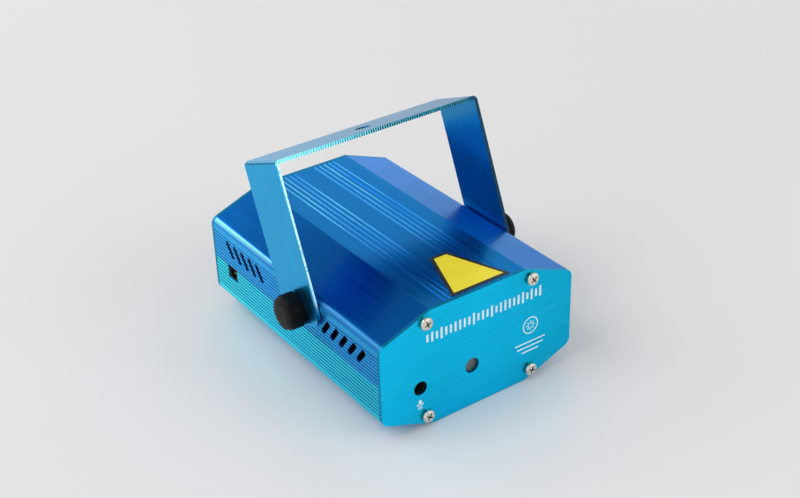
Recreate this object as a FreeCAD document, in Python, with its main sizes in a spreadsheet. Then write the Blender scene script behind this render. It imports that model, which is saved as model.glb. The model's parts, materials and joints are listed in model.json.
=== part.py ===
import FreeCAD, Part
import math
import os
import re

import Sketcher
from FreeCAD import Placement, Rotation, Vector

# Laser show projector: an anodised aluminium box in a tilting bracket.
# Frame: millimetres, +Z up, the beam leaves towards -Y, origin at the centre of the bottom face.

doc = FreeCAD.newDocument("laser_show_projector")
sheet = doc.addObject("Spreadsheet::Sheet", "sizes")

SIZES = {
    # Fits and cuts
    "running_gap": 0.05,
    "loose_gap": 0.2,
    "side_play": 0.3,
    "overrun": 2,
    # Housing
    "body_width": 92,
    "body_height": 51.5,
    "body_length": 125,
    "flat_half": 22.5,
    "slope_rise": 8.75,
    "wall": 1.6,
    "corner_radius": 4,
    "edge_radius": 1.2,
    "seam_chamfer": 0.3,
    "plate_thickness": 1.5,
    "boss_radius": 3,
    "plate_screw_half": 25.25,
    "plate_screw_inset": 4.75,
    "screw_turn": 37,
    # Grooves of the extrusion
    "side_groove_width": 0.45,
    "side_groove_depth": 0.3,
    "side_groove_margin": 4.4,
    "side_groove_count": 8,
    "top_groove_width": 0.6,
    "top_groove_depth": 0.3,
    "top_groove_pitch": 2.4,
    "top_groove_count": 5,
    "top_groove_centre": 10,
    # Vents
    "vent_length": 8.6,
    "vent_width": 2.5,
    "vent_slant": 38,
    "vent_pitch": 6,
    "vent_count": 5,
    "vent_rise_share": 0.485,
    "front_vent_inset": 10.8,
    "rear_vent_inset": 13.2,
    # Rails that hold the control board
    "rail_depth": 2,
    "rail_thickness": 1.2,
    # Sticker
    "label_thickness": 0.15,
    "label_centre": 2.6,
    "label_inset": 0.7,
    "label_length": 27.3,
    "label_front_half": 13.9,
    "label_rear_half": 4,
    # Bracket
    "pivot_forward": 10,
    "pivot_drop": 7.15,
    "bracket_tilt": 22.4,
    "bracket_reach": 59,
    "bracket_tail": 7.25,
    "bracket_width": 26.5,
    "bracket_thickness": 1.5,
    "bracket_bend": 2,
    "bracket_corner": 5,
    "bar_hole_radius": 3.25,
    # Thumbscrews
    "stud_radius": 2,
    "stud_hole_gap": 0.15,
    "stud_past_nut": 1.5,
    "stud_socket_depth": 5.5,
    "knob_radius": 7.25,
    "knob_length": 7.8,
    "knob_foot_chamfer": 0.6,
    "knob_side_length": 5.4,
    "knob_rim_radius": 6.3,
    "knob_rim_height": 7.2,
    "knob_dome_radius": 4.2,
    "knob_dome_height": 7.65,
    "knob_flute_radius": 0.45,
    "knob_flute_count": 32,
    "washer_radius": 5,
    "washer_thickness": 0.6,
    "pivot_nut_radius": 4.04,
    "pivot_nut_thickness": 3.2,
    # Cross recess screws of the plates and the fan
    "plate_screw_head_radius": 2.75,
    "plate_screw_head_height": 1.8,
    "plate_screw_head_round": 0.9,
    "plate_screw_radius": 1.5,
    "plate_screw_length": 10,
    "plate_screw_recess_half": 1.5,
    "plate_screw_recess_width": 0.55,
    "plate_screw_recess_depth": 1,
    # Small cross recess screws on the board and the grating holder
    "small_screw_head_radius": 2.2,
    "small_screw_head_height": 1.5,
    "small_screw_head_round": 0.7,
    "small_screw_radius": 1.25,
    "small_screw_length": 4.8,
    "small_screw_recess_half": 1.2,
    "small_screw_recess_width": 0.5,
    "small_screw_recess_depth": 0.8,
    # Screws of the slide switch
    "switch_screw_head_radius": 1.8,
    "switch_screw_head_height": 1.2,
    "switch_screw_head_round": 0.6,
    "switch_screw_radius": 1,
    "switch_screw_length": 3,
    "switch_screw_recess_half": 1,
    "switch_screw_recess_width": 0.4,
    "switch_screw_recess_depth": 0.7,
    # Countersunk screws in the floor and under the laser blocks
    "flush_screw_head_radius": 2.35,
    "flush_screw_head_height": 1.25,
    "flush_screw_radius": 1.25,
    "flush_screw_sink": 0.1,
    "floor_screw_length": 4.2,
    "block_screw_room": 2.3,
    "flush_screw_recess_half": 1.2,
    "flush_screw_recess_width": 0.5,
    "flush_screw_recess_depth": 0.7,
    # Beam axis and aperture
    "beam_left": 3.6,
    "beam_drop": 7.25,
    "aperture_radius": 3.25,
    "window_radius": 5,
    "window_thickness": 1.5,
    "retainer_radius": 7,
    "retainer_lip_radius": 4,
    "retainer_lip": 1.2,
    # Microphone
    "mic_inset": 17.9,
    "mic_hole_radius": 3,
    "mic_radius": 2.9,
    "mic_length": 4.6,
    "mic_setback": 0.4,
    "mic_mouth_radius": 1,
    "mic_mouth_depth": 0.8,
    "boot_radius": 4.4,
    "boot_length": 5,
    # Optics base
    "base_left": 15.5,
    "base_rear_gap": 7,
    "base_thickness": 3,
    "base_screw_inset": 3.5,
    "base_screw_setback": 21.7,
    # Laser modules and blocks
    "module_radius": 6,
    "module_nose_radius": 2,
    "module_nose_depth": 4,
    "module_tail_radius": 1.2,
    "module_tail_depth": 2,
    "green_rear_gap": 10,
    "green_tail_reach": 5,
    "red_gap": 7.6,
    "red_side_gap": 10.4,
    "red_block_length": 14,
    "block_setback": 3,
    "block_half": 9,
    "block_roof": 3.5,
    "block_screw_share": 0.25,
    "grub_radius": 1.5,
    "grub_length": 5,
    "fin_width": 1.4,
    "fin_depth": 3,
    "fin_pitch": 3.2,
    "fin_count": 3,
    # Combiner mirror
    "combiner_share": 0.3034,
    "combiner_gap": 9,
    "mirror_width": 10,
    "mirror_height": 13,
    "mirror_thickness": 1,
    "mirror_turn": 45,
    "mirror_seat": 2,
    "post_width": 12,
    "post_depth": 5,
    # Grating drive
    "tooth_module": 0.5,
    "wheel_teeth": 40,
    "pinion_teeth": 12,
    "mesh_gap": 0.1,
    "tooth_tip_half": 0.17,
    "tooth_root_half": 0.5,
    "tooth_height": 1.1,
    "wheel_setback": 6,
    "wheel_thickness": 3,
    "journal_radius": 6.5,
    "grating_radius": 5.5,
    "grating_thickness": 1,
    "grating_view_radius": 4,
    "retaining_ring_thickness": 0.8,
    "holder_thickness": 4,
    "holder_right": 17.5,
    "holder_rise": 13.5,
    "foot_length": 8,
    "foot_thickness": 2,
    "foot_screw_inset": 5.5,
    "motor_radius": 5,
    "motor_length": 14,
    "motor_boss_radius": 2.5,
    "motor_boss_length": 1.5,
    "motor_shaft_radius": 0.75,
    "motor_shaft_depth": 11,
    "motor_shaft_nose": 0.5,
    # Control board
    "board_drop": 5.95,
    "board_thickness": 1.6,
    "board_gap": 1,
    "board_setback": 11,
    "board_post_inset": 2.8,
    "board_post_radius": 2.4,
    "board_post_bore_depth": 6,
    "front_post_inset": 12,
    "rear_post_inset": 19.5,
    # Power socket
    "socket_rear_gap": 13.6,
    "socket_half": 3.5,
    "socket_height": 5.6,
    "socket_length": 11,
    "socket_inset": 0.3,
    "socket_bore_radius": 2.1,
    "socket_bore_depth": 8,
    "socket_pin_radius": 0.65,
    "socket_pin_inset": 0.8,
    "notch_depth": 6,
    # Parts on the board
    "capacitor_radius": 3,
    "capacitor_height": 8,
    "capacitor_side_gap": 1.4,
    "capacitor_start_share": 0.536,
    "capacitor_pitch_share": 0.0795,
    "capacitor_count": 3,
    "chip_side_gap": 3.4,
    "chip_width": 6,
    "chip_length": 10,
    "chip_height": 1.8,
    "chip_start_share": 0.04,
    "chip_pitch_share": 0.159,
    "chip_count": 3,
    "header_inset": 4,
    "header_width": 5,
    "header_length": 6,
    "header_height": 4,
    "speed_header_gap": 26,
    "fan_header_gap": 13,
    "green_header_gap": 5,
    "switch_header_gap": 16,
    # Fan
    "fan_room": 4.15,
    "fan_side_gap": 2.25,
    "fan_depth": 10,
    "fan_rim": 1,
    "fan_hole_inset": 4,
    "fan_hub_radius": 8,
    "fan_hub_wall": 1.2,
    "fan_strut_width": 2.4,
    "fan_strut_depth": 1.2,
    "fan_tube_radius": 2.5,
    "fan_tube_length": 6.2,
    "fan_shaft_radius": 1,
    "fan_shaft_start": 0.6,
    "fan_hub_start": 2,
    "fan_hub_end": 9,
    "fan_blade_count": 7,
    "fan_tip_gap": 1.4,
    "fan_blade_chord": 8.4,
    "fan_blade_pitch": 38,
    "fan_blade_thickness": 0.9,
    "fan_blade_sink": 0.5,
    "grille_hole_share": 0.38,
    "grille_rim_share": 0.8,
    "grille_ring_count": 3,
    "grille_ring_holes": 6,
    # Speed control
    "pot_radius": 8,
    "pot_depth": 8,
    "bushing_radius": 3,
    "bushing_length": 2.5,
    "speed_nut_radius": 4.6,
    "speed_nut_thickness": 1.6,
    "speed_shaft_radius": 2,
    "speed_shaft_length": 9,
    "speed_shaft_depth": 5,
    "speed_knob_radius": 6.5,
    "speed_knob_length": 11,
    "speed_knob_gap": 0.6,
    "speed_knob_well_radius": 5.1,
    "speed_knob_well_depth": 2.6,
    "speed_knob_taper": 0.6,
    "speed_knob_edge": 0.7,
    "speed_flute_radius": 0.4,
    "speed_flute_count": 24,
    "pointer_width": 0.8,
    "pointer_depth": 0.5,
    # Mode switch
    "switch_width": 6,
    "switch_height": 13,
    "switch_depth": 6.5,
    "switch_flange_half": 11,
    "switch_flange_thickness": 0.6,
    "switch_screw_half": 8.7,
    "switch_wall": 1,
    "lever_width": 3,
    "lever_height": 3,
    "lever_proud": 3,
    "lever_travel": 2.2,
    "lever_shoe_height": 4.6,
    "lever_shoe_depth": 2,
    "lever_groove_depth": 0.4,
    "lever_groove_width": 0.6,
    "lever_groove_rise": 0.6,
    # Leads
    "lead_radius": 0.8,
    "lead_bend": 4,
    "lead_run": 5,
    "lead_slack": 1.25,
    "motor_lead_run": 5.7,
    "switch_lead_rise": 4.7,
    "fan_lead_left": 10,
    "mic_lead_radius": 0.3,
    "mic_lead_half": 1.2,
    "mic_lead_overlap": 5,
}

for row, (alias, number) in enumerate(SIZES.items(), start=1):
    sheet.set(f"A{row}", str(number))
    sheet.setAlias(f"A{row}", alias)
doc.recompute()

# Places that several pieces share, written as formulas of the sizes
HALF_WIDTH = "(body_width / 2)"
SEAM = "(body_height / 2)"
SHELL_LENGTH = "(body_length - 2 * plate_thickness)"
SHELL_FRONT = "(plate_thickness - body_length / 2)"
SHELL_REAR = "(body_length / 2 - plate_thickness)"
BODY_FRONT = "(-body_length / 2)"
BODY_REAR = "(body_length / 2)"
INNER_SIDE = "(body_width / 2 - wall)"
SHOULDER = "(body_height / 2 - slope_rise)"
SIDE_GROOVE_PITCH = f"(({SHOULDER} - side_groove_margin) / side_groove_count)"
PLATE_SCREW_RISE = f"({SEAM} - plate_screw_inset)"
VENT_HEIGHT = f"({SEAM} + vent_rise_share * {SHOULDER})"
SLOPE_ANGLE = "atan(slope_rise / (body_width / 2 - flat_half))"
INNER_SHOULDER = f"({SHOULDER} - wall * tan((90 deg - {SLOPE_ANGLE}) / 2))"
INNER_FLAT = f"(flat_half - wall * tan({SLOPE_ANGLE} / 2))"
LABEL_FRONT = f"({SHELL_FRONT} + label_inset)"
LABEL_REAR = f"({LABEL_FRONT} + label_length)"
MIC_X = f"(mic_inset - {HALF_WIDTH})"
PIVOT = ("0", "-pivot_forward", f"({SEAM} + {SHOULDER} - pivot_drop)")
LEG_INNER = "(body_width / 2 + side_play)"
LEG_OUTER = "(body_width / 2 + side_play + bracket_thickness)"
KNOB_SEAT = "(body_width / 2 + side_play + bracket_thickness + washer_thickness)"
STUD_INNER = "(body_width / 2 - wall - pivot_nut_thickness - stud_past_nut)"
STUD_HOLE = "(stud_radius + stud_hole_gap)"
SCREW_HOLE = "(plate_screw_radius + loose_gap)"
BASE_TOP = "(wall + base_thickness)"
BEAM_X = "(-beam_left)"
BEAM_Z = f"({SEAM} - beam_drop)"
BLOCK_SCREW_LENGTH = f"({BEAM_Z} - module_radius - block_screw_room - wall - flush_screw_sink)"
BLOCK_THREAD_DEPTH = f"({BLOCK_SCREW_LENGTH} - base_thickness + flush_screw_sink + loose_gap)"
BLOCK_TOP = f"({BEAM_Z} + module_radius + block_roof)"
GEAR_DISTANCE = "(tooth_module * (wheel_teeth + pinion_teeth) / 2 + mesh_gap)"
MOTOR_X = f"({GEAR_DISTANCE} - beam_left)"
RING_RADIUS = f"({GEAR_DISTANCE} - motor_radius - side_play)"
WHEEL_FRONT = f"({SHELL_FRONT} + wheel_setback)"
WHEEL_BACK = f"({WHEEL_FRONT} + wheel_thickness)"
HOLDER_FRONT = f"({WHEEL_BACK} + side_play)"
HOLDER_BACK = f"({HOLDER_FRONT} + holder_thickness)"
FAN_FRONT = f"({SHELL_REAR} - fan_depth)"
FAN_HALF_BY_WALLS = "(body_height / 2 - wall - fan_room)"
FAN_HALF_BY_BOSSES = "(plate_screw_half - boss_radius - fan_side_gap)"
FAN_HALF = f"min({FAN_HALF_BY_WALLS}; {FAN_HALF_BY_BOSSES})"
FAN_DUCT = f"({FAN_HALF} - fan_rim)"
FAN_HOLE = f"({FAN_HALF} - fan_hole_inset)"
GRILLE_PITCH = f"({FAN_DUCT} / (grille_ring_count + grille_rim_share))"
CONTROL_X = f"(({FAN_HALF} + {INNER_SIDE}) / 2)"
MOTOR_BACK = f"({HOLDER_BACK} + motor_length)"
COMBINER_Y = f"({MOTOR_BACK} + combiner_share * ({FAN_FRONT} - {MOTOR_BACK}))"
GREEN_FRONT = f"({COMBINER_Y} + combiner_gap)"
GREEN_LENGTH = f"({FAN_FRONT} - green_rear_gap - {GREEN_FRONT})"
GREEN_BLOCK_FRONT = f"({GREEN_FRONT} + block_setback)"
GREEN_BLOCK_LENGTH = f"({GREEN_LENGTH} - block_setback - green_tail_reach)"
RED_LEFT = f"({BEAM_X} + red_gap)"
RED_LENGTH = f"({INNER_SIDE} - red_side_gap - {RED_LEFT})"
RED_BLOCK_LEFT = f"({RED_LEFT} + block_setback)"
RED_BLOCK_RIGHT = f"({RED_BLOCK_LEFT} + red_block_length)"
BASE_REAR = f"({FAN_FRONT} - base_rear_gap)"
BOARD_TOP = f"({SEAM} - board_drop)"
BOARD_BOTTOM = f"({BOARD_TOP} - board_thickness)"
BOARD_RIGHT = "(-base_left - board_gap)"
BOARD_FRONT = f"({SHELL_FRONT} + board_setback)"
BOARD_REAR = f"({FAN_FRONT} - side_play)"
BOARD_LENGTH = f"({BOARD_REAR} - {BOARD_FRONT})"
SOCKET_Y = f"({SHELL_REAR} - socket_rear_gap)"
HEADER_X = f"({BOARD_RIGHT} - header_inset)"
HEADER_TOP = f"({BOARD_TOP} + header_height)"
LEAD_LEVEL = f"({SEAM} + 2 * lead_bend + lead_slack)"

FACING = {
    "up": Rotation(),
    "down": Rotation(Vector(1, 0, 0), 180),
    "front": Rotation(Vector(1, 0, 0), 90),
    "rear": Rotation(Vector(1, 0, 0), -90),
    "left": Rotation(Vector(0, 1, 0), -90),
    "right": Rotation(Vector(0, 1, 0), 90),
}

HEX_SIDES = 6
LEAD_VOLUME_SHARE = 0.01
NODES = []


# Binding to the sheet

def qualified(formula):
    """The formula with each named size read from the sheet."""
    def from_sheet(word):
        return f"sizes.{word[0]}" if word[0] in SIZES else word[0]
    return re.sub(r"[a-z_][a-z_0-9]*", from_sheet, formula)


def bind(item, path, formula):
    item.setExpression(path, qualified(formula))


def place(item, at, turn=Rotation()):
    item.Placement = Placement(Vector(), turn)
    for axis, formula in zip("xyz", at):
        bind(item, f"Placement.Base.{axis}", formula)
    return item


ruler = doc.addObject("Part::Vertex", "ruler")


def measure(formula):
    """The present value of a formula."""
    bind(ruler, "X", formula)
    ruler.recompute()
    return ruler.X.Value


def node(label, item):
    """Name a finished sub-part."""
    item.Label = label
    NODES.append(item)
    return item


# Part primitives and booleans

def block(name, low, high):
    """Box between two corners."""
    item = doc.addObject("Part::Box", name)
    for side, start, end in zip(("Length", "Width", "Height"), low, high):
        bind(item, side, f"({end}) - ({start})")
    return place(item, low)


def rod(name, radius, at, length, facing="up"):
    """Cylinder that starts at a point and runs the way it faces."""
    item = doc.addObject("Part::Cylinder", name)
    bind(item, "Radius", radius)
    bind(item, "Height", length)
    return place(item, at, FACING[facing])


def united(name, items):
    item = doc.addObject("Part::MultiFuse", name)
    item.Shapes = items
    return item


def cut(name, base, tools):
    item = doc.addObject("Part::Cut", name)
    item.Base = base
    item.Tool = tools[0] if len(tools) == 1 else united(f"{name}_tools", tools)
    return item


def group(name, items):
    item = doc.addObject("Part::Compound", name)
    item.Links = items
    return item


def copies(master, places, facing):
    """Links to one master screw, each at its own place and turn."""
    links = []
    for number, at in enumerate(places, start=1):
        link = doc.addObject("App::Link", f"{master.Name}_copy")
        link.LinkedObject = master
        turn = Rotation(Vector(0, 0, 1), number * measure("screw_turn"))
        links.append(place(link, at, FACING[facing].multiply(turn)))
    return links


# Bodies, sketches and features

def new_body(name):
    return doc.addObject("PartDesign::Body", name)


def origin_part(body, role):
    return next(item for item in body.Origin.OriginFeatures if item.Role == role)


def sketch_on(body, name, role, offset="0"):
    sketch = body.newObject("Sketcher::SketchObject", name)
    sketch.AttachmentSupport = [(origin_part(body, role), "")]
    sketch.MapMode = "FlatFace"
    bind(sketch, "AttachmentOffset.Base.z", offset)
    return sketch


def fix_point(sketch, shape, point, at):
    """Hold one point of a sketch shape at two formulas."""
    for direction, formula in zip(("DistanceX", "DistanceY"), at):
        number = sketch.addConstraint(Sketcher.Constraint(direction, -1, 1, shape, point, 1.0))
        bind(sketch, f"Constraints[{number}]", formula)


def polygon(sketch, points):
    """Closed outline whose corners are pairs of formulas."""
    first = sketch.GeometryCount
    count = len(points)
    spots = [Rotation(Vector(0, 0, 1), 360 * i / count).multVec(Vector(1, 0, 0)) for i in range(count)]
    lines = [Part.LineSegment(spots[i], spots[(i + 1) % count]) for i in range(count)]
    sketch.addGeometry(lines, False)
    corners = [(first + i, first + (i + 1) % count) for i in range(count)]
    sketch.addConstraint([Sketcher.Constraint("Coincident", a, 2, b, 1) for a, b in corners])
    for i, at in enumerate(points):
        fix_point(sketch, first + i, 1, at)


def rectangle(sketch, low, high):
    polygon(sketch, [low, (high[0], low[1]), high, (low[0], high[1])])


def circle(sketch, centre, radius):
    shape = sketch.addGeometry(Part.Circle(Vector(), Vector(0, 0, 1), 1), False)
    fix_point(sketch, shape, 3, centre)
    number = sketch.addConstraint(Sketcher.Constraint("Radius", shape, 1))
    bind(sketch, f"Constraints[{number}]", radius)


def swept(body, kind, name, sketch, length, sides):
    feature = body.newObject(f"PartDesign::{kind}", name)
    feature.Profile = sketch
    feature.SideType = sides
    bind(feature, "Length", length)
    doc.recompute()
    return feature


def pad(body, name, sketch, length, sides="Symmetric"):
    return swept(body, "Pad", name, sketch, length, sides)


def pocket(body, name, sketch, length, sides="Symmetric"):
    return swept(body, "Pocket", name, sketch, length, sides)


def revolve(body, name, points):
    """Turn an outline of radius and height about the body's Z axis."""
    sketch = sketch_on(body, f"{name}_profile", "XZ_Plane")
    polygon(sketch, points)
    feature = body.newObject("PartDesign::Revolution", name)
    feature.Profile = sketch
    feature.ReferenceAxis = (sketch, ["V_Axis"])
    feature.Angle = 360
    doc.recompute()
    return feature


def turned(name, points, at, facing):
    body = new_body(name)
    revolve(body, f"{name}_turning", points)
    return place(body, at, FACING[facing])


def line_pattern(body, name, feature, role, length, count):
    pattern = body.newObject("PartDesign::LinearPattern", name)
    pattern.Originals = [feature]
    pattern.Direction = (origin_part(body, role), [""])
    bind(pattern, "Length", length)
    bind(pattern, "Occurrences", count)
    body.Tip = pattern
    doc.recompute()
    return pattern


def round_pattern(body, name, feature, count):
    pattern = body.newObject("PartDesign::PolarPattern", name)
    pattern.Originals = [feature]
    pattern.Axis = (origin_part(body, "Z_Axis"), [""])
    pattern.Angle = 360
    bind(pattern, "Occurrences", count)
    body.Tip = pattern
    doc.recompute()
    return pattern


def edges_through(shape, spots):
    """Names of the straight edges whose ends share the given coordinates; None leaves one free."""
    wanted = [[None if part is None else measure(part) for part in spot] for spot in spots]
    names = []
    for number, edge in enumerate(shape.Edges, start=1):
        ends = [vertex.Point for vertex in edge.Vertexes]
        for spot in wanted:
            pairs = [(end[i], spot[i]) for end in ends for i in range(3) if spot[i] is not None]
            if len(ends) == 2 and all(abs(a - b) < Part.Precision.approximation() for a, b in pairs):
                names.append(f"Edge{number}")
    return names


def round_edges(body, name, spots, radius):
    base = body.Tip
    feature = body.newObject("PartDesign::Fillet", name)
    feature.Base = (base, edges_through(base.Shape, spots))
    bind(feature, "Radius", radius)
    doc.recompute()
    return feature


def both_sides(points):
    """Each point with its mirror image across the middle plane."""
    return points + [(f"-({point[0]})",) + tuple(point[1:]) for point in points]


def four_corners(half_x, centre, half_z):
    return both_sides([(half_x, f"{centre} + {half_z}"), (half_x, f"{centre} - {half_z}")])


PLATE_SCREW_SPOTS = four_corners("plate_screw_half", SEAM, PLATE_SCREW_RISE)
FAN_SCREW_SPOTS = four_corners(FAN_HOLE, SEAM, FAN_HOLE)


# Screws

def cross_recess(body, prefix, top):
    """Cross-shaped recess in a screw head."""
    sketch = sketch_on(body, f"{prefix}_recess_outline", "XY_Plane", top)
    long = f"{prefix}_recess_half"
    short = f"{prefix}_recess_width / 2"
    quarter = [(long, f"-{short}"), (long, short), (short, short), (short, long)]
    half = quarter + [(f"-{short}", long), (f"-{short}", short), (f"-{long}", short)]
    rest = [(f"-{long}", f"-{short}"), (f"-{short}", f"-{short}"), (f"-{short}", f"-{long}")]
    polygon(sketch, half + rest + [(short, f"-{long}"), (short, f"-{short}")])
    return pocket(body, f"{prefix}_recess", sketch, f"{prefix}_recess_depth", "One side")


def pan_screw(prefix):
    """Round-topped screw whose head sits on the plane z = 0."""
    body = new_body(f"{prefix}_master")
    thread = f"{prefix}_radius"
    head = f"{prefix}_head_radius"
    top = f"{prefix}_head_height"
    end = f"-{prefix}_length"
    outline = [("0", end), (thread, end), (thread, "0"), (head, "0"), (head, top), ("0", top)]
    turning = revolve(body, f"{prefix}_turning", outline)
    rim = body.newObject("PartDesign::Fillet", f"{prefix}_rim")
    top_now = measure(top)
    edges = enumerate(turning.Shape.Edges, start=1)
    rim_edges = [f"Edge{number}" for number, edge in edges
                 if edge.Closed and abs(edge.CenterOfMass.z - top_now) < Part.Precision.confusion()]
    rim.Base = (turning, rim_edges)
    bind(rim, "Radius", f"{prefix}_head_round")
    doc.recompute()
    cross_recess(body, prefix, top)
    return body


def flush_screw(name, length):
    """Countersunk screw whose flat top lies on the plane z = 0."""
    body = new_body(name)
    thread = "flush_screw_radius"
    rim = "-(flush_screw_head_height)"
    end = f"-{length}"
    outline = [("0", end), (thread, end), (thread, rim), ("flush_screw_head_radius", "0"), ("0", "0")]
    revolve(body, f"{name}_turning", outline)
    sketch = sketch_on(body, f"{name}_recess_outline", "XY_Plane")
    low = "-flush_screw_recess_half"
    width = "flush_screw_recess_width / 2"
    rectangle(sketch, (low, f"-{width}"), ("flush_screw_recess_half", width))
    pocket(body, f"{name}_recess", sketch, "flush_screw_recess_depth", "One side")
    return body


def flush_seat(name, at, depth):
    """Cutter for a countersunk screw that faces down: a cone and its clearance bore."""
    cone = doc.addObject("Part::Cone", f"{name}_cone")
    bind(cone, "Radius1", "flush_screw_head_radius + running_gap")
    bind(cone, "Radius2", "flush_screw_radius + running_gap")
    bind(cone, "Height", "flush_screw_head_height")
    place(cone, (at[0], at[1], f"{at[2]} + flush_screw_sink"))
    mouth = rod(f"{name}_mouth", "flush_screw_head_radius + running_gap",
                (at[0], at[1], f"{at[2]} - overrun"), "overrun + flush_screw_sink")
    bore = rod(f"{name}_bore", "flush_screw_radius + running_gap", at, depth)
    return [cone, mouth, bore]


plate_screw = pan_screw("plate_screw")
small_screw = pan_screw("small_screw")
switch_screw = pan_screw("switch_screw")
floor_screw = flush_screw("floor_screw_master", "floor_screw_length")
block_screw = flush_screw("block_screw_master", BLOCK_SCREW_LENGTH)


# Housing shells

def shell_outline():
    outer = [(f"{HALF_WIDTH} - seam_chamfer", "0"), (HALF_WIDTH, "seam_chamfer"),
             (HALF_WIDTH, SHOULDER), ("flat_half", SEAM)]
    inner = [(INNER_FLAT, f"{SEAM} - wall"), (INNER_SIDE, INNER_SHOULDER), (INNER_SIDE, "0")]
    left_outer = [(f"-({x})", z) for x, z in reversed(outer)]
    left_inner = [(f"-({x})", z) for x, z in reversed(inner)]
    return outer + left_outer + left_inner + inner


def half_shell(name):
    """Extruded half with its seam on the plane z = 0: walls, screw bosses and grooves."""
    body = new_body(name)
    outline = sketch_on(body, f"{name}_outline", "XZ_Plane")
    polygon(outline, shell_outline())
    pad(body, f"{name}_walls", outline, SHELL_LENGTH)
    round_edges(body, f"{name}_shoulders", both_sides([(HALF_WIDTH, None, SHOULDER)]), "corner_radius")
    round_edges(body, f"{name}_edges", both_sides([("flat_half", None, SEAM)]), "edge_radius")
    inner_spots = both_sides([(INNER_SIDE, None, INNER_SHOULDER)])
    round_edges(body, f"{name}_inner_shoulders", inner_spots, "corner_radius - wall")

    bosses = sketch_on(body, f"{name}_boss_outline", "XZ_Plane")
    for at in both_sides([("plate_screw_half", PLATE_SCREW_RISE)]):
        circle(bosses, at, "boss_radius")
    pad(body, f"{name}_bosses", bosses, SHELL_LENGTH)
    bores = sketch_on(body, f"{name}_bore_outline", "XZ_Plane")
    for at in both_sides([("plate_screw_half", PLATE_SCREW_RISE)]):
        circle(bores, at, "plate_screw_radius + running_gap")
    pocket(body, f"{name}_bores", bores, "body_length")

    sides = sketch_on(body, f"{name}_side_groove_outline", "XZ_Plane")
    low = f"{SIDE_GROOVE_PITCH} - side_groove_width / 2"
    high = f"{SIDE_GROOVE_PITCH} + side_groove_width / 2"
    inner = f"{HALF_WIDTH} - side_groove_depth"
    outer = f"{HALF_WIDTH} + overrun"
    rectangle(sides, (inner, low), (outer, high))
    rectangle(sides, (f"-({outer})", low), (f"-({inner})", high))
    side_groove = pocket(body, f"{name}_side_groove", sides, "body_length")
    line_pattern(body, f"{name}_side_grooves", side_groove, "Z_Axis",
                 f"{SIDE_GROOVE_PITCH} * (side_groove_count - 1)", "side_groove_count")

    top = sketch_on(body, f"{name}_top_groove_outline", "XZ_Plane")
    span = "top_groove_pitch * (top_groove_count - 1)"
    for centre in ("top_groove_centre", "-top_groove_centre"):
        start = f"{centre} - {span} / 2"
        left = f"{start} - top_groove_width / 2"
        right = f"{start} + top_groove_width / 2"
        polygon(top, [(left, SEAM), (start, f"{SEAM} - top_groove_depth"), (right, SEAM),
                      (right, f"{SEAM} + overrun"), (left, f"{SEAM} + overrun")])
    top_groove = pocket(body, f"{name}_top_groove", top, "body_length")
    line_pattern(body, f"{name}_top_grooves", top_groove, "X_Axis", span, "top_groove_count")
    return body


def vent(name, along, lean):
    """Slanted round-ended slot cutter through both sides; lean is the angle of its top towards -Y."""
    straight = "(vent_length - vent_width)"
    start_x = f"-{HALF_WIDTH} - overrun"
    length = "body_width + 2 * overrun"
    sine = f"sin({lean} * 1 deg)"
    cosine = f"cos({lean} * 1 deg)"
    middle = doc.addObject("Part::Box", f"{name}_middle")
    bind(middle, "Length", length)
    bind(middle, "Width", "vent_width")
    bind(middle, "Height", straight)
    corner_y = f"{along} - vent_width / 2 * {cosine} + {straight} / 2 * {sine}"
    corner_z = f"{VENT_HEIGHT} - vent_width / 2 * {sine} - {straight} / 2 * {cosine}"
    place(middle, (start_x, corner_y, corner_z), Rotation(Vector(1, 0, 0), measure(lean)))
    ends = []
    for sign in ("+", "-"):
        end_y = f"{along} {'-' if sign == '+' else '+'} {straight} / 2 * {sine}"
        end_z = f"{VENT_HEIGHT} {sign} {straight} / 2 * {cosine}"
        ends.append(rod(f"{name}_end", "vent_width / 2", (start_x, end_y, end_z), length, "right"))
    return united(name, [middle] + ends)


def make_upper_shell():
    body = place(half_shell("upper_shell_body"), ("0", "0", SEAM))
    vents = []
    for i in range(round(measure("vent_count"))):
        vents.append(vent("front_vent", f"{SHELL_FRONT} + front_vent_inset + {i} * vent_pitch", "vent_slant"))
        vents.append(vent("rear_vent", f"{SHELL_REAR} - rear_vent_inset - {i} * vent_pitch", "-vent_slant"))
    pivot = rod("pivot_bore", STUD_HOLE, (f"-{HALF_WIDTH} - overrun",) + PIVOT[1:],
                "body_width + 2 * overrun", "right")
    node("upper_shell", cut("upper_shell", body, vents + [pivot]))


BASE_SCREW_SPOTS = [
    (x, y)
    for x in ("base_screw_inset - base_left", f"{RED_BLOCK_RIGHT} - base_screw_inset")
    for y in (f"{BASE_REAR} - base_screw_inset", f"{HOLDER_FRONT} + base_screw_setback")
]
POST_SPOTS = [
    (f"{BOARD_RIGHT} - board_post_inset", y)
    for y in (f"{BOARD_FRONT} + front_post_inset", f"{FAN_FRONT} - rear_post_inset")
]
FLOOR_SCREW_SPOTS = BASE_SCREW_SPOTS + POST_SPOTS


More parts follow.
